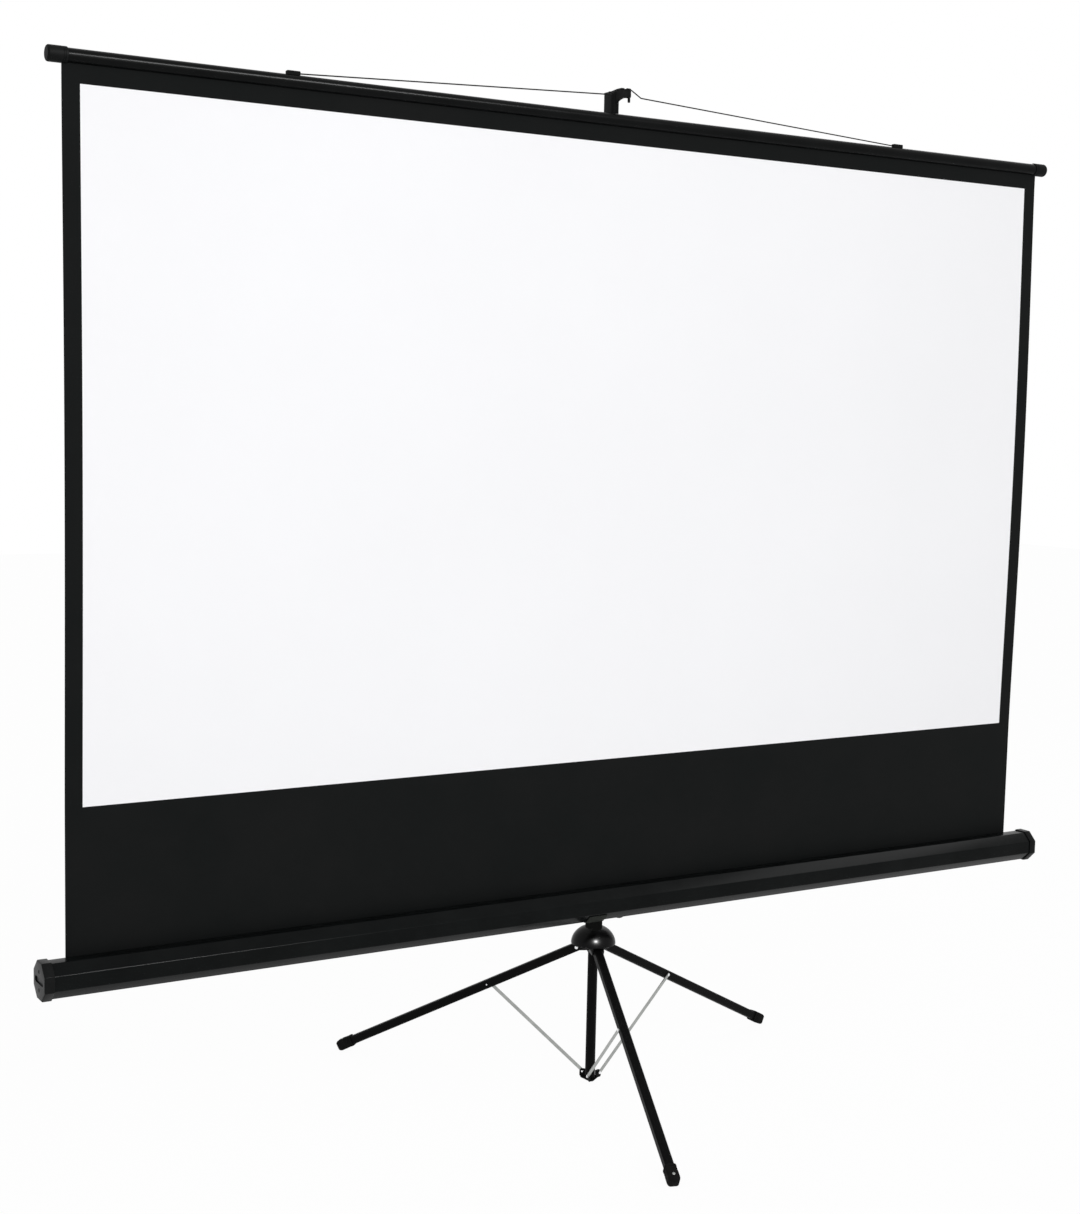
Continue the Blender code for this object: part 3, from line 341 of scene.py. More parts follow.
def rounded(path: Sequence[Flat], radii: Sequence[float], steps: int = 4) -> list[Flat]:
    """Round the corners of an outline.

    Args:
        path: the corners.
        radii: one radius for each, 0 to keep it sharp; an edge too short for it makes it smaller.
        steps: how many steps each rounding has.

    Returns:
        The outline.
    """
    points: list[Flat] = []
    for i, wanted in enumerate(radii):
        here = Vector(path[i])
        if wanted <= 0:
            points.append((here.x, here.y))
            continue
        back, ahead = Vector(path[i - 1]) - here, Vector(path[(i + 1) % len(path)]) - here
        room = 0.49 * min(back.length, ahead.length)
        back.normalize()
        ahead.normalize()
        half = back.angle(ahead) / 2
        radius = min(wanted, room * tan(half))
        middle = here + (back + ahead).normalized() * (radius / sin(half))
        start = here + back * (radius / tan(half)) - middle
        end = here + ahead * (radius / tan(half)) - middle
        first = atan2(start.y, start.x)
        last = first + (atan2(end.y, end.x) - first + pi) % tau - pi
        points += arc((middle.x, middle.y), radius, degrees(first), degrees(last), steps)
    return points


def loft(rings: Sequence[Sequence[Point]]) -> Shape:
    """A closed solid through rings of equally many points.

    Args:
        rings: the rings, in order.

    Returns:
        The solid.
    """
    bm = bmesh.new()
    made = [[bm.verts.new(point) for point in ring] for ring in rings]
    for near, far in zip(made, made[1:]):
        for i in range(len(near)):
            j = (i + 1) % len(near)
            bm.faces.new((near[i], near[j], far[j], far[i]))
    bm.faces.new(list(reversed(made[0])))
    bm.faces.new(made[-1])
    return bm


def pushed(outline: Sequence[Flat], plane: Plane, low: float, high: float) -> Shape:
    """A solid that an outline in a plane makes between a low and a high place along the plane's normal."""
    layers = [[(u, v, depth) for u, v in outline] for depth in (low, high)]
    return loft([[tuple(corner[axis] for axis in plane.value) for corner in layer] for layer in layers])


def turned(profile: Sequence[Flat], sides: int = 64) -> Shape:
    """A solid turned about +Z.

    Args:
        profile: (radius, height) points; a radius of 0 lies on the axis.
        sides: how many sides a full turn has.

    Returns:
        The solid.
    """
    bm = bmesh.new()
    verts = [bm.verts.new((radius, 0.0, height)) for radius, height in profile]
    edges = [bm.edges.new(pair) for pair in zip(verts, verts[1:])]
    if profile[0][0] > 0 or profile[-1][0] > 0:
        edges.append(bm.edges.new((verts[-1], verts[0])))
    bmesh.ops.spin(bm, geom=verts + edges, cent=(0, 0, 0), axis=(0, 0, 1), angle=tau, steps=sides,
                   use_merge=True)
    bmesh.ops.remove_doubles(bm, verts=bm.verts, dist=WELD)
    return bm


def domed(radius: float, low: float, rise: float) -> list[Flat]:
    """A profile over a dome of a radius, from its foot's height to its rise on the axis."""
    over = arc((0.0, 0.0), 1.0, 0, 90, 6)[:-1]
    return [*((radius * u, low + rise * v) for u, v in over), (0.0, low + rise)]


def swept(points: Sequence[Point], radii: Sequence[float], sides: int) -> Shape:
    """A round bar along points in a plane across Y, with its own radius at each.

    Args:
        points: the centreline.
        radii: one radius for each point.
        sides: how many sides the bar has.

    Returns:
        The solid.
    """
    rings = []
    side = Vector(BACKWARD)
    angles = [tau * j / sides for j in range(sides)]
    for i, radius in enumerate(radii):
        along = Vector(points[min(i + 1, len(points) - 1)]) - Vector(points[max(i - 1, 0)])
        up = along.normalized().cross(side)
        rings.append([Vector(points[i]) + radius * (cos(angle) * side + sin(angle) * up) for angle in angles])
    return loft(rings)


def moved(bm: Shape, matrix: Matrix) -> Shape:
    """Move a shape by a matrix, and return it."""
    bmesh.ops.transform(bm, matrix=matrix, verts=bm.verts)
    return bm


def aimed(direction: Point, at: Point = (0.0, 0.0, 0.0)) -> Matrix:
    """The matrix that turns +Z to a direction and moves the origin to a point."""
    turn = Vector((0.0, 0.0, 1.0)).rotation_difference(Vector(direction)).to_matrix().to_4x4()
    return Matrix.Translation(at) @ turn


def smoothed(mesh: bpy.types.Mesh, angle: float) -> None:
    """Shade a mesh smooth, with sharp edges where it turns by more than an angle in degrees."""
    mesh.shade_smooth()
    mesh.set_sharp_from_angle(angle=radians(angle))


def as_object(name: str, bm: Shape, angle: float = SHARP_ANGLE) -> Piece:
    """Turn a shape into a smooth-shaded object.

    Args:
        name: the object's name.
        bm: the shape, which is used up.
        angle: the sharpest smooth edge, in degrees.

    Returns:
        The object, at the origin.
    """
    bmesh.ops.remove_doubles(bm, verts=bm.verts, dist=WELD)
    bmesh.ops.recalc_face_normals(bm, faces=bm.faces)
    mesh = bpy.data.meshes.new(name)
    bm.to_mesh(mesh)
    bm.free()
    smoothed(mesh, angle)
    obj = bpy.data.objects.new(name, mesh)
    bpy.context.scene.collection.objects.link(obj)
    return obj


def settled(obj: Piece, angle: float = SHARP_ANGLE) -> Piece:
    """Apply an object's modifiers to its mesh.

    Args:
        obj: the object.
        angle: the sharpest smooth edge, in degrees.

    Returns:
        The same object.
    """
    bpy.context.view_layer.update()
    graph = bpy.context.evaluated_depsgraph_get()
    mesh = bpy.data.meshes.new_from_object(obj.evaluated_get(graph))
    obj.modifiers.clear()
    obj.data = mesh
    smoothed(mesh, angle)
    return obj


def combined(obj: Piece, working: Working, tools: Sequence[Shape | Piece]) -> Piece:
    """Cut tools out of an object, or join them on.

    Args:
        obj: the object.
        working: which of the two.
        tools: the tools, which are used up.

    Returns:
        The same object.
    """
    for tool in tools:
        cutter = tool if isinstance(tool, Piece) else as_object("tool", tool)
        step = obj.modifiers.new("step", "BOOLEAN")
        step.operation = working.value
        step.solver = "EXACT"
        step.object = cutter
        settled(obj)
        bpy.data.objects.remove(cutter, do_unlink=True)
    return obj


def softened(obj: Piece, width: float, segments: int = 3) -> Piece:
    """Round an object's sharp edges.

    Args:
        obj: the object.
        width: the rounding's width.
        segments: how many segments it has.

    Returns:
        The same object.
    """
    bevel = obj.modifiers.new("rounding", "BEVEL")
    bevel.width = width
    bevel.segments = segments
    bevel.limit_method = "ANGLE"
    bevel.angle_limit = radians(BEVEL_ANGLE)
    return settled(obj, BEVELLED_ANGLE)


def mounted(obj: Piece, finish: Finish, body: str, *replaced: str) -> None:
    """Give a piece its finish and the body that carries it.

    Args:
        obj: the piece, in place.
        finish: its finish.
        body: the frame's body that it rides on.
        replaced: the frame's nodes that it stands for.
    """
    if not obj.data.materials:
        obj.data.materials.append(finish.material())
    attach(obj, body)
    if replaced:
        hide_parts(*replaced)
    LOG.info("%s rides on %s", obj.name, body)


def dressed(finish: Finish, *names: str) -> None:
    """Give nodes of the frame a finish.

    Args:
        finish: the finish.
        names: the nodes.
    """
    for name in names:
        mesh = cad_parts[name].data
        mesh.materials.clear()
        mesh.materials.append(finish.material())
        smoothed(mesh, SHARP_ANGLE)
        LOG.info("%s has %s", name, finish.name)


# The screen


@dataclass
class ProjectionCloth:
    """The cloth in two stretches: the picture with its mask, and the black drop below it."""

    half: float = 1.139
    thick: float = 0.0008
    image_half: float = 1.107
    image_low: float = 0.696
    image_high: float = 1.941
    border: float = 0.032
    low: float = CASE_Z
    high: float = 1.9805
    shut_low: float = 0.408
    travel: float = 0.81
    curl: float = 0.008
    curl_reach: float = 0.16
    columns: int = 48
    rows: int = 28

    def lean(self, x: float, z: float) -> float:
        """How far along Y the cloth's side edges curl forward between the case and the bar."""
        up = min(max((z - self.image_low) / (self.image_high - self.image_low), 0.0), 1.0)
        return -self.curl * exp(-((self.half - abs(x)) / self.curl_reach) ** 1.5) * sin(pi * up) ** 1.2

    def lines(self, low: float, high: float, marks: Sequence[float], count: int) -> list[float]:
        """Grid lines between two ends that also run through marks.

        Args:
            low: the first line.
            high: the last line.
            marks: lines that must be there, in order.
            count: about how many steps the grid has.

        Returns:
            The lines, in order.
        """
        stops = [low, *(mark for mark in marks if low < mark < high), high]
        made = [low]
        for start, end in zip(stops, stops[1:]):
            steps = max(1, round(count * (end - start) / (high - low)))
            made += [start + (end - start) * (i + 1) / steps for i in range(steps)]
        return made

    def stretch(self, name: str, low: float, high: float) -> Piece:
        """One thin stretch of cloth with a white picture area where there is one.

        Args:
            name: the piece's name.
            low: its lower edge.
            high: its upper edge.

        Returns:
            The piece, with the white, mask and backing materials.
        """
        xs = self.lines(-self.half, self.half, (-self.image_half, self.image_half), self.columns)
        zs = self.lines(low, high, (self.image_low, self.image_high), self.rows)
        bm = bmesh.new()
        sides = []
        for offset in (-self.thick / 2, self.thick / 2):
            sides.append([[bm.verts.new((x, CLOTH_Y + self.lean(x, z) + offset, z)) for x in xs] for z in zs])
        front, back = sides
        top, last = len(zs) - 1, len(xs) - 1
        for i in range(top):
            for j in range(last):
                face = bm.faces.new((front[i][j], front[i][j + 1], front[i + 1][j + 1], front[i + 1][j]))
                across = abs(xs[j] + xs[j + 1]) / 2 < self.image_half
                inside = across and self.image_low < (zs[i] + zs[i + 1]) / 2 < self.image_high
                face.material_index = 0 if inside else 1
                face = bm.faces.new((back[i][j], back[i + 1][j], back[i + 1][j + 1], back[i][j + 1]))
                face.material_index = 2
        rim = [(i, 0) for i in range(top)] + [(top, j) for j in range(last)]
        rim += [(i, last) for i in range(top, 0, -1)] + [(0, j) for j in range(last, 0, -1)]
        for (i, j), (k, m) in zip(rim, rim[1:] + rim[:1]):
            face = bm.faces.new((front[i][j], back[i][j], back[k][m], front[k][m]))
            face.material_index = 1
        obj = as_object(name, bm, CLOTH_ANGLE)
        for finish in (WHITE_PVC, BLACK_MASK, BLACK_BACKING):
            obj.data.materials.append(finish.material())
        return obj

    def build(self) -> None:
        """Make both stretches, each riding on the body that carries it, in place of the frame's cloth."""
        split, top, foot, shut = self.image_low - self.border, self.high, self.low, self.shut_low
        for name, finish, body, low, high, fixed, left, rest in (
            ("screen_picture", WHITE_PVC, "bar", split, top, top, top - self.travel - shut, "top_bar"),
            ("screen_drop", BLACK_MASK, "carriage", foot, split, foot, shut - foot, "cloth_roll"),
        ):
            cloth = self.stretch(name, low, high)
            mounted(cloth, finish, body, "screen_cloth")
            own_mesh(cloth)


# The tripod


@dataclass
class TripodHub:
    """The hub: a polished dome on a flared core, with two cheeks beside each leg."""

    low: float = 0.278
    core_radius: float = 0.0125
    core_straight: float = 0.002
    flare_radius: float = 0.020
    rim: float = 0.296
    lip: float = 0.0032
    recess: float = 0.003
    radius: float = 0.047
    top: float = 0.334
    shoulder_radius: float = 0.0145
    bore: float = 0.0108
    pivot_radius: float = 0.033
    pivot_height: float = 0.286
    lean: float = radians(62.5814)
    pin_room: float = 0.0033
    cheek_near: float = 0.0096
    cheek_far: float = 0.0128
    cheek_round: float = 0.0065
    cheek_inner: float = -0.0265

    def profile(self) -> list[Flat]:
        """The turned section, over the flared core, the hollow, the rolled lip and the dome.

        Returns:
            (radius, height) points.
        """
        core, edge, rim = self.core_radius, self.radius - self.lip, self.rim
        points = [(self.bore, self.low), (core - 0.0004, self.low), (core, self.low + 0.0004)]
        start, hollow = self.low + self.core_straight, rim + self.recess
        for share in (i / 8 for i in range(9)):
            flare = (self.flare_radius - core) * share ** 2.2
            points.append((core + flare, start + (hollow - start) * share))
        points += [(edge, hollow), (edge + 0.0003, rim + 0.0003), (edge + 0.0010, rim)]
        points += [(self.radius - 0.0010, rim), (self.radius - 0.0003, rim + 0.0004)]
        shoulder = degrees(acos(self.shoulder_radius / self.radius))
        steps = 22
        for i in range(steps + 1):
            angle = radians(2 + (shoulder - 2) * i / steps)
            rise = (self.top - rim) * sin(angle) / sin(radians(shoulder))
            points.append((self.radius * cos(angle), rim + rise))
        points.append((self.bore, self.top))
        return points

    def cheek(self, leg: Leg, low: float, high: float) -> Piece:
        """One cheek beside a leg, hung from the dome.

        Args:
            leg: the leg.
            low: where it starts along the pin.
            high: where it ends.

        Returns:
            The cheek.
        """
        into_dome = self.rim + self.recess + 0.001 - self.pivot_height
        inner, bend = self.cheek_inner, self.cheek_round
        outline = [(inner, into_dome), (inner, -bend / 2), (0.0, -bend)]
        outline += arc((0.0, 0.0), bend, -75, 0, 10) + [(bend, into_dome)]
        shape = moved(pushed(outline, Plane.XZ, low, high), self.pivot(leg))
        return softened(as_object(f"cheek_{leg.word}", shape), 0.0005, 2)

    def pivot(self, leg: Leg) -> Matrix:
        """The frame of a leg's pin: +X outward and +Y along the pin."""
        out = Matrix.Translation((self.pivot_radius, 0.0, self.pivot_height))
        return AT_COLUMN @ Matrix.Rotation(radians(leg.value), 4, "Z") @ out

    def build(self) -> None:
        """Make the hub in place of the frame's, and dress the pins."""
        hub = as_object("tripod_hub", moved(turned(self.profile(), 96), AT_COLUMN))
        near, far, room = self.cheek_near, self.cheek_far, self.pin_room
        drill = oblong(0.0, room, 0.0012 - far, 0.02)
        for leg in Leg:
            cheeks = [self.cheek(leg, low, high) for low, high in ((-far, -near), (near, far))]
            combined(hub, Working.JOIN, cheeks)
            combined(hub, Working.CUT, [moved(turned(drill, 24), self.pivot(leg) @ aimed(BACKWARD))])
        mounted(hub, POLISHED_ABS, "tripod", "hub_dome")
        dressed(NICKEL_PLATE, *(f"leg_pin_{leg.word}" for leg in Leg))


@dataclass
class TripodLeg:
    """One leg's rubber boot and its rivet, in the leg's own lean."""

    leg: Leg
    hub: TripodHub
    length: float = 0.600451
    side: float = 0.018
    boot_side: float = 0.0235
    grip: float = 0.020
    short: float = 0.012
    corner: float = 0.005
    nose: float = 0.010
    stud_radius: float = 0.0030
    lug_radius: float = 0.0185
    lug_height: float = 0.0125
    tail_radius: float = 0.0022
    tail_side: float = -0.0048

    def place(self) -> Matrix:
        """The leg's frame: -Z runs down the leg from its pin."""
        return self.hub.pivot(self.leg) @ Matrix.Rotation(-self.hub.lean, 4, "Y")

    def section(self, half: float, corner: float, height: float) -> list[Point]:
        """A square ring of half a side, with corners of a radius, at a height along the leg."""
        ring = rounded(oblong(-half, half, -half, half), [min(corner, half * 0.9)] * 4, 5)
        return [(x, y, height) for x, y in ring]

    def boot(self) -> None:
        """Make the boot with its lip, its grooves and its round nose."""
        half = self.boot_side / 2
        start = self.short + self.grip - self.length
        sections = [(half - 0.0012, 0.0), (half - 0.0003, 0.0004), (half, 0.0012), (half, 0.0040)]
        for groove in (0.0046, 0.0088, 0.0130):
            sections += [(half - 0.0008, groove + 0.0004), (half - 0.0008, groove + 0.0014)]
            sections.append((half - 0.0001, groove + 0.0019))
        rings = [self.section(size, self.corner, start - down) for size, down in sections]
        shoulder = self.nose - self.length - 0.006
        steps = 9
        for i in range(steps + 1):
            angle = radians(80) * i / steps
            height = shoulder - self.nose * sin(angle)
            rings.append(self.section(half * cos(angle * 0.75), self.corner * cos(angle), height))
        boot = as_object(f"boot_{self.leg.word}", moved(loft(rings), self.place()))
        wide, floor = self.side / 2 + GAP, self.short - GAP - self.length
        square = oblong(-wide, wide, -wide, wide)
        socket = moved(pushed(square, Plane.XY, floor, start + 0.01), self.place())
        ground = pushed(oblong(-2, 2, -2, 2), Plane.XY, -0.05, 0.0)
        combined(boot, Working.CUT, [socket, ground])
        mounted(boot, MOULDED_RUBBER, f"{self.leg.word}_leg", f"foot_{self.leg.word}")

    def stud(self) -> None:
        """Put the zinc-plated stud on the front of the boot."""
        half, radius = self.boot_side / 2, self.stud_radius
        profile = [(0.0, half - 0.002), (radius, half - 0.002)] + domed(radius, half, 0.0010)
        lift = aimed((1.0, 0.0, 0.0), (0.0, 0.0, self.short - 0.0035 - self.length))
        shape = moved(turned(profile, 24), self.place() @ lift)
        mounted(as_object(f"boot_stud_{self.leg.word}", shape), ZINC_STRIP, f"{self.leg.word}_leg")

    def tail(self) -> None:
        """Cap the spread tail of the rivet that goes through this leg's lug on the column's foot."""
        profile = [(0.0, -0.0002), (self.tail_radius, -0.0002)] + domed(self.tail_radius, 0.0001, 0.0006)
        turn = Matrix.Rotation(radians(self.leg.value), 4, "Z")
        place = aimed(BACKWARD, (self.lug_radius, self.tail_side, self.lug_height))
        shape = moved(turned(profile, 20), AT_COLUMN @ turn @ place)
        mounted(as_object(f"lug_rivet_tail_{self.leg.word}", shape), NICKEL_PLATE, "column")

    def build(self) -> None:
        """Make the boot, its stud and the rivet's tail, and dress the leg and its stay."""
        self.boot()
        self.stud()
        self.tail()
        dressed(POWDER_COAT, f"leg_{self.leg.word}")
        dressed(ZINC_STRIP, f"stay_{self.leg.word}")
        dressed(NICKEL_PLATE, f"stay_rivet_{self.leg.word}", f"lug_rivet_{self.leg.word}")


# The column, the mast and their clamps


@dataclass
class ClampKnob:
    """A five-lobed clamp knob with a steel washer behind it."""

    body: str
    node: str
    start: Point
    lobes: int = 5
    radius: float = 0.0155
    depth: float = 0.0022
    stud: float = 0.003

    def build(self) -> None:
        """Make the knob and its washer in place of the frame's."""
        steps = 90
        outline = []
        for i in range(steps):
            angle = tau * i / steps
            reach = self.radius + self.depth * cos(self.lobes * angle)
            outline.append((reach * cos(angle), reach * sin(angle)))
        levels = [(0.0100, 0.88), (0.0103, 0.93), (0.0111, 0.98), (0.0123, 1.0), (0.0192, 1.0)]
        levels += [(0.0205, 0.975), (0.0213, 0.93), (0.0215, 0.86), (0.0215, 0.58), (0.0211, 0.56)]
        levels.append((0.0208, 0.52))
        rings = [[(u * scale, v * scale, height) for u, v in outline] for height, scale in levels]
        place = aimed(BACKWARD, self.start)
        knob = as_object(f"{self.node}_grip", moved(loft(rings), place))
        neck = [(0.0, -0.0066), (self.stud, -0.0066), (self.stud, 0.004), (0.0064, 0.0045), (0.0070, 0.0052)]
        neck += [(0.0070, 0.0108), (0.0, 0.0108)]
        combined(knob, Working.JOIN, [moved(turned(neck, 32), place)])
        mounted(knob, GRAINED_NYLON, self.body, self.node)
        bore = self.stud + 0.0002
        ring = [(bore, 0.0022), (0.0062, 0.0022), (0.0065, 0.0025), (0.0065, 0.0033), (0.0062, 0.0036)]
        washer = as_object(f"{self.node}_washer", moved(turned([*ring, (bore, 0.0036)], 40), place))
        mounted(washer, NICKEL_PLATE, self.body)


@dataclass
class TubeCollar:
    """A moulded collar on a tube's end, with grip rings and the boss for its clamp."""

    body: str
    node: str
    tube: float
    top: float
    inner: float
    radius: float = 0.0165
    half: float = 0.020
    boss: float = 0.0075
    boss_bore: float = 0.0034
    knob_rise: float = 0.004

    def build(self) -> None:
        """Make the collar in place of the frame's."""
        low, high, seat = self.top - self.half, self.top + self.half, self.top + GAP
        radius, bore, neck = self.radius, self.tube + GAP, self.inner + GAP
        profile = [(bore, low), (radius - 0.0012, low), (radius - 0.0003, low + 0.0004)]
        profile.append((radius, low + 0.0012))
        for ring in (0.0030, 0.0055, 0.0080):
            profile += [(radius, low + ring), (radius - 0.0006, low + ring + 0.0004)]
            profile += [(radius - 0.0006, low + ring + 0.0011), (radius, low + ring + 0.0015)]
        profile += [(radius, high - 0.0034), (radius - 0.0008, high - 0.0016)]
        profile += [(radius - 0.0022, high - 0.0004), (radius - 0.0034, high)]
        profile += [(neck, high), (neck, seat), (bore, seat)]
        collar = as_object(f"{self.node}_moulding", moved(turned(profile), AT_COLUMN))
        start, end, boss, hole = self.inner + 0.003, radius + 0.0066, self.boss, self.boss_bore
        tube = [(hole, start), (boss, start), (boss, end - 0.0006), (boss - 0.0006, end), (hole, end)]
        place = aimed(BACKWARD, (0.0, COLUMN_Y, self.top + self.knob_rise))
        combined(collar, Working.JOIN, [moved(turned(tube, 40), place)])
        mounted(collar, GRAINED_NYLON, self.body, self.node)


@dataclass
class MastHook:
    """The hook moulding: a socket on the mast, a thin arm over the bar and a prong below its nose."""

    low: float = 1.985
    socket_radius: float = 0.009
    socket_back: float = 0.0905
    socket_corner: float = 0.003
    socket_top: float = 2.049
    bore: float = 0.0073
    bore_top: float = 2.0303
    arm_half: float = 0.0035
    arm_corner: float = 0.0025
    top: float = 2.0525
    saddle: float = 2.04625
    saddle_half: float = 0.0045
    prong_half: float = 0.0018
    prong_corner: float = 0.0014

    def socket(self) -> Piece:
        """The upright socket, half round in front and square behind.

        Returns:
            The socket, with soft edges.
        """
        radius, back, corner = self.socket_radius, self.socket_back - COLUMN_Y, self.socket_corner
        front = arc((0.0, 0.0), radius, 180, 360, 24)
        rear = rounded([front[-1], (radius, back), (-radius, back), front[0]], [0.0, corner, corner, 0.0])
        shape = pushed(front[:-1] + rear[:-1], Plane.XY, self.low, self.socket_top)
        return softened(as_object("mast_hook_moulding", moved(shape, AT_COLUMN)), 0.0010)

    def arm(self) -> Piece:
        """The arm, drawn in Y and Z from its back over the top to the nose and along its underside.

        Returns:
            The arm, with soft edges.
        """
        near, far = CLOTH_Y - self.saddle_half, CLOTH_Y + self.saddle_half
        back = [(0.0830, 2.0450), (0.0830, 2.0505), (0.0800, 2.0515), (0.0725, 2.0505)]
        over = [(0.0520, self.top), (0.0340, self.top), (far, self.saddle), (near, self.saddle)]
        nose = [(0.0178, 2.0490), (0.0144, 2.0490), (0.0105, 2.0480), (0.0092, 2.0466), (0.0088, 2.0318)]
        under = [(0.0105, 2.0302), (0.0200, 2.0302), (0.0266, 2.0320), (0.0360, 2.0322), (0.0445, 2.0308)]
        root = [(0.0510, 2.0288), (0.0545, 2.0258), (0.0558, 2.0205), (0.0600, 2.0205)]
        path = back + over + nose + under + root
        outline = rounded(path, [self.arm_corner] * len(path), 3)
        shape = pushed(outline, Plane.YZ, -self.arm_half, self.arm_half)
        return softened(as_object("hook_arm", shape), 0.0008)

    def prong(self) -> Piece:
        """The short prong that keeps the wire's hump behind the nose.

        Returns:
            The prong, with soft edges.
        """
        half, corner = self.prong_half, self.prong_corner
        path = [(0.0092, 2.0370), (0.0092, 2.0205), (0.0140, 2.0205), (0.0145, 2.0370)]
        outline = rounded(path, [0.0, corner, corner, 0.0])
        return softened(as_object("hook_prong", pushed(outline, Plane.YZ, -half, half)), 0.0005)

    def build(self) -> None:
        """Make the hook in place of the frame's."""
        hook = combined(self.socket(), Working.JOIN, [self.arm(), self.prong()])
        bore = oblong(0.0, self.bore, self.low - 0.01, self.bore_top)
        combined(hook, Working.CUT, [moved(turned(bore, 40), AT_COLUMN)])
        mounted(hook, GRAINED_NYLON, "upper_mast", "mast_hook")


@dataclass
class Mast:
    """The column and mast tubes, their collars and knobs, and the hook."""

    column_top: float = 1.100
    lower_top: float = 1.550
    sleeve_knob: float = 0.455
    collar_radius: float = 0.0165
    sleeve_radius: float = 0.0138
    knob_rise: float = 0.004
    knob_reach: float = 0.007

    def build(self) -> None:
        """Make the collars, knobs and hook, and dress the tubes."""
        TubeCollar("column", "column_collar", 0.0105, self.column_top, 0.0088).build()
        TubeCollar("lower_mast", "mast_collar", 0.0088, self.lower_top, 0.0070).build()
        for word, outer, height in (
            ("column", self.collar_radius, self.column_top + self.knob_rise),
            ("mast", self.collar_radius, self.lower_top + self.knob_rise),
            ("carriage", self.sleeve_radius, self.sleeve_knob),
        ):
            start = (0.0, COLUMN_Y + outer + self.knob_reach, height)
            ClampKnob(f"{word}_clamp", f"{word}_knob", start).build()
        MastHook().build()
        dressed(POWDER_COAT, "column_tube", "mast_lower")
        dressed(GRAINED_NYLON, "column_foot")
        dressed(NICKEL_PLATE, "mast_upper")


# The case


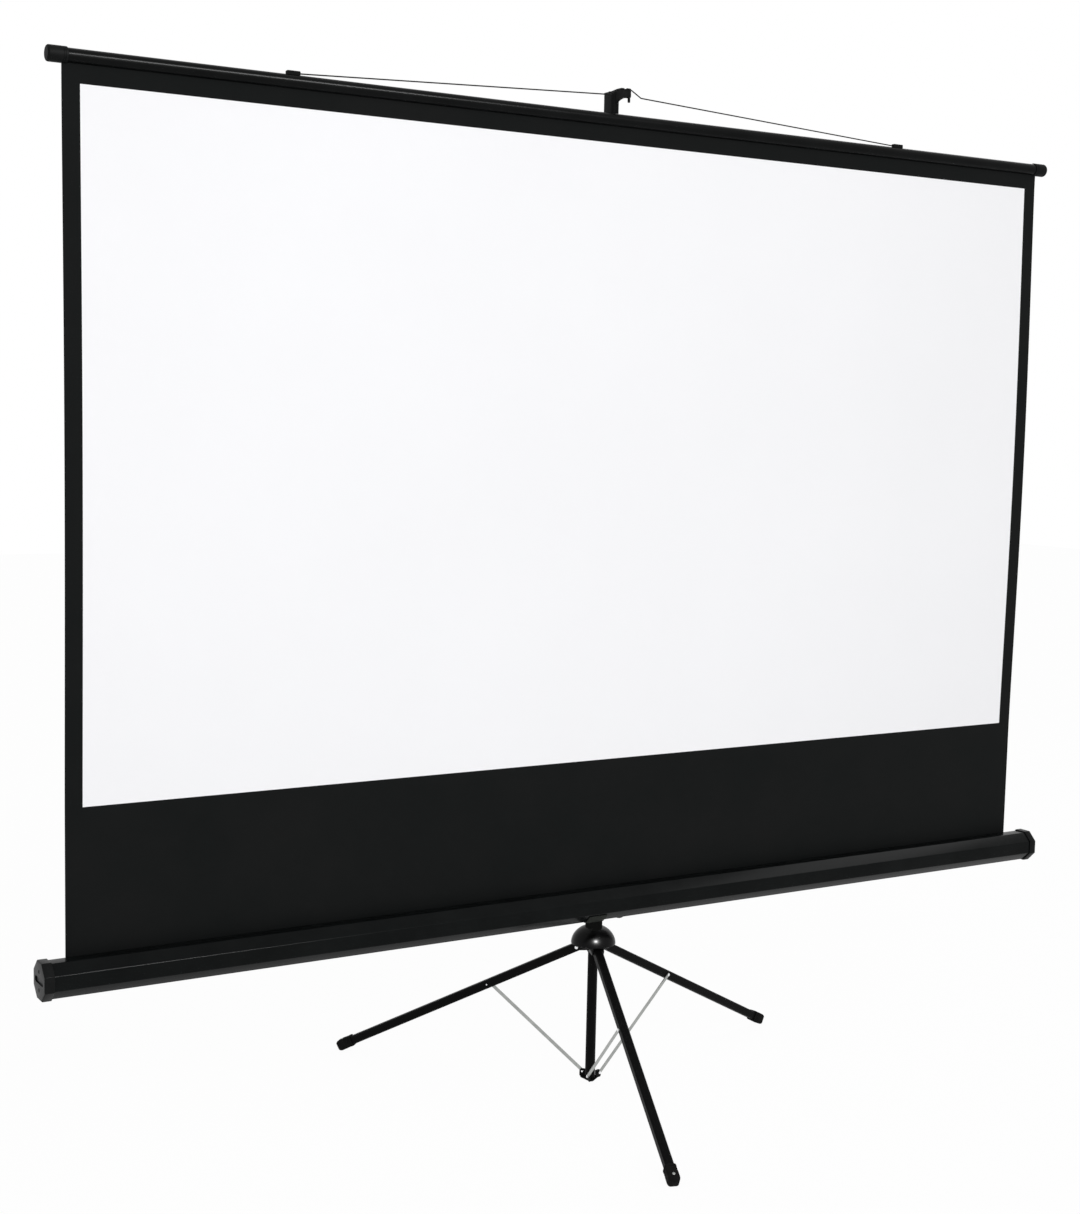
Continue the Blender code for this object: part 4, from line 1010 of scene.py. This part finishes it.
@dataclass
class RollerCase:
    """The case: folded shell, end caps, screws, bracket, roller and carry handle."""

    flats: float = 0.064
    wall: float = 0.0015
    half: float = 1.184
    slot_front: float = 0.016
    slot_back: float = 0.025
    slot_round: float = 0.0006
    fold: float = 0.0034
    cap_flats: float = 0.069
    cap_inner: float = 1.174
    cap_end: float = 1.192
    cap_round: float = 0.0025
    cap_corner: float = 0.0016
    groove_half_length: float = 0.024
    groove_half_height: float = 0.0055
    groove_depth: float = 0.0025
    pin_room: float = 0.0053
    screw_rise: float = 0.0165
    screw_radius: float = 0.0016
    screw_head_radius: float = 0.0034
    screw_head: float = 0.0018
    screw_seat: float = cap_end - screw_head - 2 * GAP
    screw_length: float = 0.004
    handle_left: float = 0.115
    handle_right: float = 0.245
    handle_foot: float = 0.0125
    handle_room: float = 0.0060
    handle_rise: float = 0.008
    handle_reach: float = 0.034
    handle_bend: float = 0.010
    handle_turn: float = 0.007
    grip_radius: float = 0.0040
    grip_half: float = 0.040
    rib: float = 0.0006
    rib_pitch: float = 0.004

    def at_case(self, points: Sequence[Flat], x: float) -> list[Point]:
        """Points round the case's axis, in Y and Z, at a place along it."""
        return [(x, CASE_Y + y, CASE_Z + z) for y, z in points]

    def shell(self) -> None:
        """Make the folded shell with rounded folds and a hemmed slot."""
        outer, inner = octagon(self.flats), octagon(self.flats - 2 * self.wall)
        slant_out, slant_in = sum(outer[0]), sum(inner[0])
        front, back, hem = self.slot_front, self.slot_back, self.slot_round
        path = [(front, slant_out - front), *outer, (back, slant_out - back), (back, slant_in - back)]
        path += [*reversed(inner), (front, slant_in - front)]
        radii = [hem] + [self.fold] * 8 + [hem] * 2 + [self.fold - self.wall] * 8 + [hem]
        outline = rounded(path, radii)
        rings = [self.at_case(outline, x) for x in (-self.half, self.half)]
        mounted(as_object("case_sheet", loft(rings), FACET_ANGLE), CASE_COAT, "carriage", "case_shell")

    def drill(self, side: Side, rise: float, radius: float, start: float, end: float) -> Shape:
        """A round cutter along a cap, at a rise from its axis, between two places from the case's middle."""
        place = aimed((side.value, 0.0, 0.0), (0.0, CASE_Y, CASE_Z + rise))
        return moved(turned(oblong(0.0, radius, start, end), 32), place)

    def cap(self, side: Side) -> None:
        """Make one end cap with its pocket, rounded end, groove and sunk screw holes.

        Args:
            side: the end that it closes.
        """
        end, flats, soft, corner = self.cap_end, self.cap_flats, self.cap_round, self.cap_corner
        inner, pocket, sharp = self.cap_inner, self.flats + 2 * GAP, 0.0006
        levels = [(self.half + GAP, pocket, sharp), (inner, pocket, sharp), (inner, flats - 0.0012, corner)]
        levels += [(inner + 0.0002, flats - 0.0004, corner), (inner + 0.0006, flats, corner)]
        for u, v in arc((1.0, 0.0), 1.0, 180, 90, 6):
            levels.append((end - soft + soft * v, flats - 2 * soft * u, corner))
        rings = [self.at_case(rounded(octagon(size), [bend] * 8), side.value * x) for x, size, bend in levels]
        cap = as_object(f"case_cap_{side.word}_moulding", loft(rings), FACET_ANGLE)
        long, high = self.groove_half_length, self.groove_half_height
        corners = oblong(CASE_Y - long, CASE_Y + long, CASE_Z - high, CASE_Z + high)
        ends = sorted((side.value * (end - self.groove_depth), side.value * (end + 0.01)))
        groove = pushed(rounded(corners, [0.004] * 4, 6), Plane.YZ, *ends)
        tools = [groove, self.drill(side, 0.0, self.pin_room, 1.15, end - 0.005)]
        for rise in (self.screw_rise, -self.screw_rise):
            tools.append(self.drill(side, rise, self.screw_radius + GAP, self.half - 0.005, end + 0.001))
            tools.append(self.drill(side, rise, self.screw_head_radius + GAP, self.screw_seat, end + 0.001))
        mounted(combined(cap, Working.CUT, tools), SATIN_ABS, "carriage", f"case_cap_{side.word}")

    def screw(self, side: Side, number: int, rise: float) -> None:
        """Make one sunk cap screw with a cross recess.

        Args:
            side: the cap that it is in.
            number: its number on that cap.
            rise: its height from the case's axis.
        """
        seat, radius, head = self.screw_seat + GAP, self.screw_radius, self.screw_head_radius
        tip, brim = seat - self.screw_length, seat + 0.0008
        profile = [(0.0, tip), (radius, tip), (radius, seat), (head, seat), (head, brim)]
        profile += domed(head, brim, self.screw_head - 0.0008)
        place = aimed((side.value, 0.0, 0.0), (0.0, CASE_Y, CASE_Z + rise))
        screw = as_object(f"cap_screw_{side.word}_{number}_cross", moved(turned(profile, 32), place))
        cross = [oblong(-long, long, -wide, wide) for long, wide in ((0.0018, 0.0003), (0.0003, 0.0018))]
        tools = [moved(pushed(bar, Plane.XY, seat + 0.0009, seat + 0.003), place) for bar in cross]
        combined(screw, Working.CUT, tools)
        mounted(screw, BLACKENED_STEEL, "carriage", f"cap_screw_{side.word}_{number}")

    def handle(self) -> None:
        """Make the folding carry handle with a ribbed grip."""
        left, reach, bend, turn = self.handle_left, self.handle_reach, self.handle_bend, self.handle_turn
        hinge = (CASE_Y + self.flats / 2 + GAP + self.handle_room, CASE_Z + self.handle_rise)
        middle, steps = (left + self.handle_right) / 2, 40
        side = [(left - self.handle_foot, 0.0)] + arc((left, -turn), turn, 90, 0, 8)
        side += arc((left + turn + bend, -reach + bend), bend, 180, 270, 10)
        pace = 2 * self.grip_half / steps
        grip = [(middle - self.grip_half + pace * i, -reach) for i in range(steps + 1)]
        path = side + grip + [(2 * middle - x, z) for x, z in reversed(side)]
        radii = []
        for x, z in path:
            on_grip = z <= -reach + GAP and abs(x - middle) < self.grip_half + GAP
            rise = self.rib * cos(pi * (x - middle) / self.rib_pitch) if on_grip else 0.0
            radii.append(self.grip_radius + rise)
        handle = swept([(x, hinge[0], hinge[1] + z) for x, z in path], radii, 20)
        mounted(as_object("carry_handle_grip", handle), GRAINED_NYLON, "handle", "carry_handle")
        dressed(GRAINED_NYLON, "handle_mount_left", "handle_mount_right")

    def build(self) -> None:
        """Make the case's pieces and dress what stays."""
        self.shell()
        for side in Side:
            self.cap(side)
            for number, rise in enumerate((self.screw_rise, -self.screw_rise), 1):
                self.screw(side, number, rise)
        self.handle()
        # The bracket's coat has painted shade on its underside
        dressed(BRACKET_COAT, "case_bracket")
        dressed(POWDER_COAT, "swing_plate")
        dressed(GRAINED_NYLON, "carriage_sleeve", "roller_end_left", "roller_end_right")
        dressed(DRAWN_TUBE, "roller_tube")
        dressed(BLACK_BACKING, "cloth_roll")
        dressed(NICKEL_PLATE, "roller_spring", "swing_bolt")


# The bar at the screen's top edge


@dataclass
class TopBar:
    """The slotted bar, its end caps and clips, and the wire bail."""

    radius: float = 0.0125
    wall: float = 0.0012
    slot: float = 0.004
    half: float = 1.158
    cap_radius: float = 0.0142
    cap_inner: float = 1.130
    cap_nose: float = 0.004
    end: float = 1.165
    cloth_half: float = 1.139
    cloth_room: float = 0.0014
    clip_x: float = 0.717
    clip_z: float = 2.0015
    wire: float = 0.00125
    peak: float = 2.0478
    hump_half: float = 0.0133
    hump_foot: float = 0.0372
    hump_foot_z: float = 2.0344
    bend: float = 0.006

    def bar(self) -> None:
        """Make the slotted tube."""
        outer, inner, centre = self.radius, self.radius - self.wall, (CLOTH_Y, BAR_Z)
        open_out, open_in = (degrees(asin(self.slot / 2 / radius)) for radius in (outer, inner))
        outline = arc(centre, outer, -90 + open_out, 270 - open_out, 60)
        outline += arc(centre, inner, 270 - open_in, -90 + open_in, 60)
        tube = pushed(outline, Plane.YZ, -self.half, self.half)
        mounted(as_object("hem_bar_tube", tube, FACET_ANGLE), ANODISED_BAR, "bar", "top_bar")

    def cap(self, side: Side) -> None:
        """Make one push-on end cap with a round nose and two grip rings.

        Args:
            side: the end that it closes.
        """
        bore, nose, radius, start = self.radius + GAP, self.cap_nose, self.cap_radius, self.cap_inner
        profile = [(bore, start), (radius - 0.0007, start), (radius - 0.0002, start + 0.0002)]
        profile.append((radius, start + 0.0008))
        for ring in (0.004, 0.007):
            profile += [(radius, start + ring), (radius - 0.0005, start + ring + 0.0003)]
            profile += [(radius - 0.0005, start + ring + 0.0011), (radius, start + ring + 0.0014)]
        profile += arc((radius - nose, self.end - nose), nose, 0, 90, 8)
        profile += [(0.0, self.end), (0.0, self.half + GAP), (bore, self.half + GAP)]
        place = aimed((side.value, 0.0, 0.0), (0.0, CLOTH_Y, BAR_Z))
        cap = as_object(f"bar_cap_{side.word}_moulding", moved(turned(profile), place))
        ends = sorted((side.value * (start - 0.01), side.value * (self.cloth_half + 0.0006)))
        cleft = oblong(CLOTH_Y - self.cloth_room, CLOTH_Y + self.cloth_room, BAR_Z - 0.02, BAR_Z)
        combined(cap, Working.CUT, [pushed(cleft, Plane.YZ, *ends)])
        mounted(cap, GRAINED_NYLON, "bar", f"bar_cap_{side.word}")

    def bail(self) -> None:
        """Make the wire bail with its hump over the hook."""
        half = [(0.0, self.peak), (self.hump_half, self.peak), (self.hump_foot, self.hump_foot_z)]
        half += [(self.clip_x - 0.018, self.clip_z), (self.clip_x + 0.002, self.clip_z)]
        half = rounded(half, [0.0, self.bend, self.bend, self.bend * 3, 0.0])
        points = [(x, CLOTH_Y, z) for x, z in [(-x, z) for x, z in reversed(half[1:])] + half]
        wire = as_object("bail_wire_drawn", swept(points, [self.wire] * len(points), 14))
        mounted(wire, BLACKENED_STEEL, "bail", "bail_wire")

    def build(self) -> None:
        """Make the bar's pieces and dress what stays."""
        self.bar()
        for side in Side:
            self.cap(side)
        self.bail()
        dressed(GRAINED_NYLON, "bail_clip_left", "bail_clip_right")
        dressed(NICKEL_PLATE, "hem_rod")


# The studio


@dataclass(frozen=True)
class SoftLight:
    """An oblong soft light of so many watts. Where it names pieces, it only shows as gloss on them."""

    name: str
    at: Point
    target: Point
    size: Flat
    power: float
    pieces: tuple[str, ...] = ()

    def hang(self) -> None:
        """Hang the light, once its pieces are there."""
        data = bpy.data.lights.new(self.name, "AREA")
        data.shape = "RECTANGLE"
        data.size, data.size_y = self.size
        data.energy = self.power
        obj = bpy.data.objects.new(self.name, data)
        obj.location = self.at
        obj.rotation_euler = (Vector(self.at) - Vector(self.target)).to_track_quat("Z", "Y").to_euler()
        bpy.context.scene.collection.objects.link(obj)
        if self.pieces:
            lit = bpy.data.collections.new(f"{self.name}_lights_this")
            for piece in self.pieces:
                lit.objects.link(bpy.data.objects[piece])
            obj.light_linking.receiver_collection = lit
            obj.visible_camera = False
            obj.visible_diffuse = False


# The case and the bar, each with the cap at its near end
CASE_LEFT = ("case_sheet", "case_cap_left_moulding")
BAR_LEFT = ("hem_bar_tube", "bar_cap_left_moulding")
LIGHTS = (
    SoftLight("key_light", (-0.9, -4.4, 2.6), (0.0, 0.0, 1.2), (2.4, 2.4), 80.0),
    SoftLight("fill_light", (3.0, 2.6, 3.2), (0.0, 0.0, 1.0), (2.4, 2.4), 20.0),
    SoftLight("dome_glint", (-0.97, -3.1, 2.55), (0.0, COLUMN_Y, 0.31), (0.60, 0.50), 900.0, ("tripod_hub",)),
    SoftLight("fold_glint", (0.2, -3.1, 2.3), (-1.0, CASE_Y, CASE_Z), (0.8, 0.35), 130.0, CASE_LEFT),
    SoftLight("facet_glow", (2.5, -0.71, 2.6), (0.65, CASE_Y, CASE_Z), (1.5, 0.8), 12.0, CASE_LEFT),
    SoftLight("bar_glint", (0.4, -2.9, 3.37), (-0.85, CLOTH_Y, BAR_Z), (1.6, 0.25), 150.0, BAR_LEFT),
)


@dataclass
class Studio:
    """The photograph's camera, a white floor and soft, even light."""

    azimuth: float = -31.3
    elevation: float = 5.95
    roll: float = 1.25
    eye: Point = (-2.11, -3.161, 1.406)
    focal_px: float = 1873.0
    image_height_px: float = 1214.0
    film: float = 36.0
    sky: float = 0.66
    floor_white: float = 0.96
    floor_reach: float = 14.0

    def camera(self) -> None:
        """Put the camera at the photograph's place, turn and lens."""
        data = bpy.data.cameras.new("photograph_camera")
        data.sensor_fit = "VERTICAL"
        data.sensor_height = self.film
        data.lens = self.focal_px * self.film / self.image_height_px
        data.clip_start = 0.05
        data.clip_end = 100.0
        obj = bpy.data.objects.new("photograph_camera", data)
        turn = Matrix.Rotation(radians(self.azimuth), 4, "Z")
        tilt = Matrix.Rotation(radians(90 - self.elevation), 4, "X")
        roll = Matrix.Rotation(radians(self.roll), 4, "Z")
        obj.matrix_world = Matrix.Translation(self.eye) @ turn @ tilt @ roll
        bpy.context.scene.collection.objects.link(obj)
        bpy.context.scene.camera = obj

    def seen(self, tree: Tree) -> Socket:
        """Tell rays that show the surround from rays that only light the screen.

        Args:
            tree: the node tree.

        Returns:
            1 for camera, glossy and transmission rays, and 0 for others.
        """
        rays = add_node(tree, "LightPath").outputs
        seen = rays["Is Camera Ray"]
        for ray in ("Is Glossy Ray", "Is Transmission Ray"):
            seen = add_node(tree, "Math", {"operation": "MAXIMUM"}, {}, {0: seen, 1: rays[ray]}).outputs[0]
        return seen

    def world(self) -> None:
        """A white surround for the eye and for gloss, and a softer one for the light."""
        world = bpy.data.worlds.new("studio")
        bpy.context.scene.world = world
        world.use_nodes = True
        tree = world.node_tree
        level = add_node(tree, "MapRange", {}, {"To Min": self.sky}, {"Value": self.seen(tree)})
        background = tree.nodes["Background"].inputs
        background["Color"].default_value = (1.0, 1.0, 1.0, 1.0)
        tree.links.new(level.outputs["Result"], background["Strength"])

    def floor(self) -> None:
        """A pale floor that shows white, with a faint shadow."""
        reach = self.floor_reach
        outline = oblong(-reach, reach, -reach, reach)
        obj = as_object("studio_floor", pushed(outline, Plane.XY, -0.02, -0.0002))
        made = bpy.data.materials.new("studio_floor_paint")
        made.use_nodes = True
        tree = made.node_tree
        tree.nodes.remove(tree.nodes["Principled BSDF"])
        plain = add_node(tree, "BsdfDiffuse", {}, {"Color": linear("#f4f4f4")}).outputs[0]
        glow = add_node(tree, "Emission", {}, {"Color": (1.0, 1.0, 1.0, 1.0), "Strength": 1.0}).outputs[0]
        share = add_node(tree, "Math", {"operation": "MULTIPLY"}, {1: self.floor_white}, {0: self.seen(tree)})
        mix = add_node(tree, "MixShader", {}, {}, {0: share.outputs[0], 1: plain, 2: glow})
        tree.links.new(mix.outputs[0], tree.nodes["Material Output"].inputs["Surface"])
        obj.data.materials.append(made)

    def build(self) -> None:
        """Set the studio up."""
        self.camera()
        self.world()
        self.floor()
        for light in LIGHTS:
            light.hang()
        bpy.context.scene.view_settings.view_transform = "Standard"


def main() -> None:
    """Build every sub-assembly in order."""
    logging.basicConfig(level=logging.INFO, format="%(message)s")
    hub = TripodHub()
    hub.build()
    for leg in Leg:
        TripodLeg(leg, hub).build()
    for part in (Mast(), RollerCase(), TopBar(), ProjectionCloth(), Studio()):
        part.build()


if __name__ == "__main__":
    main()
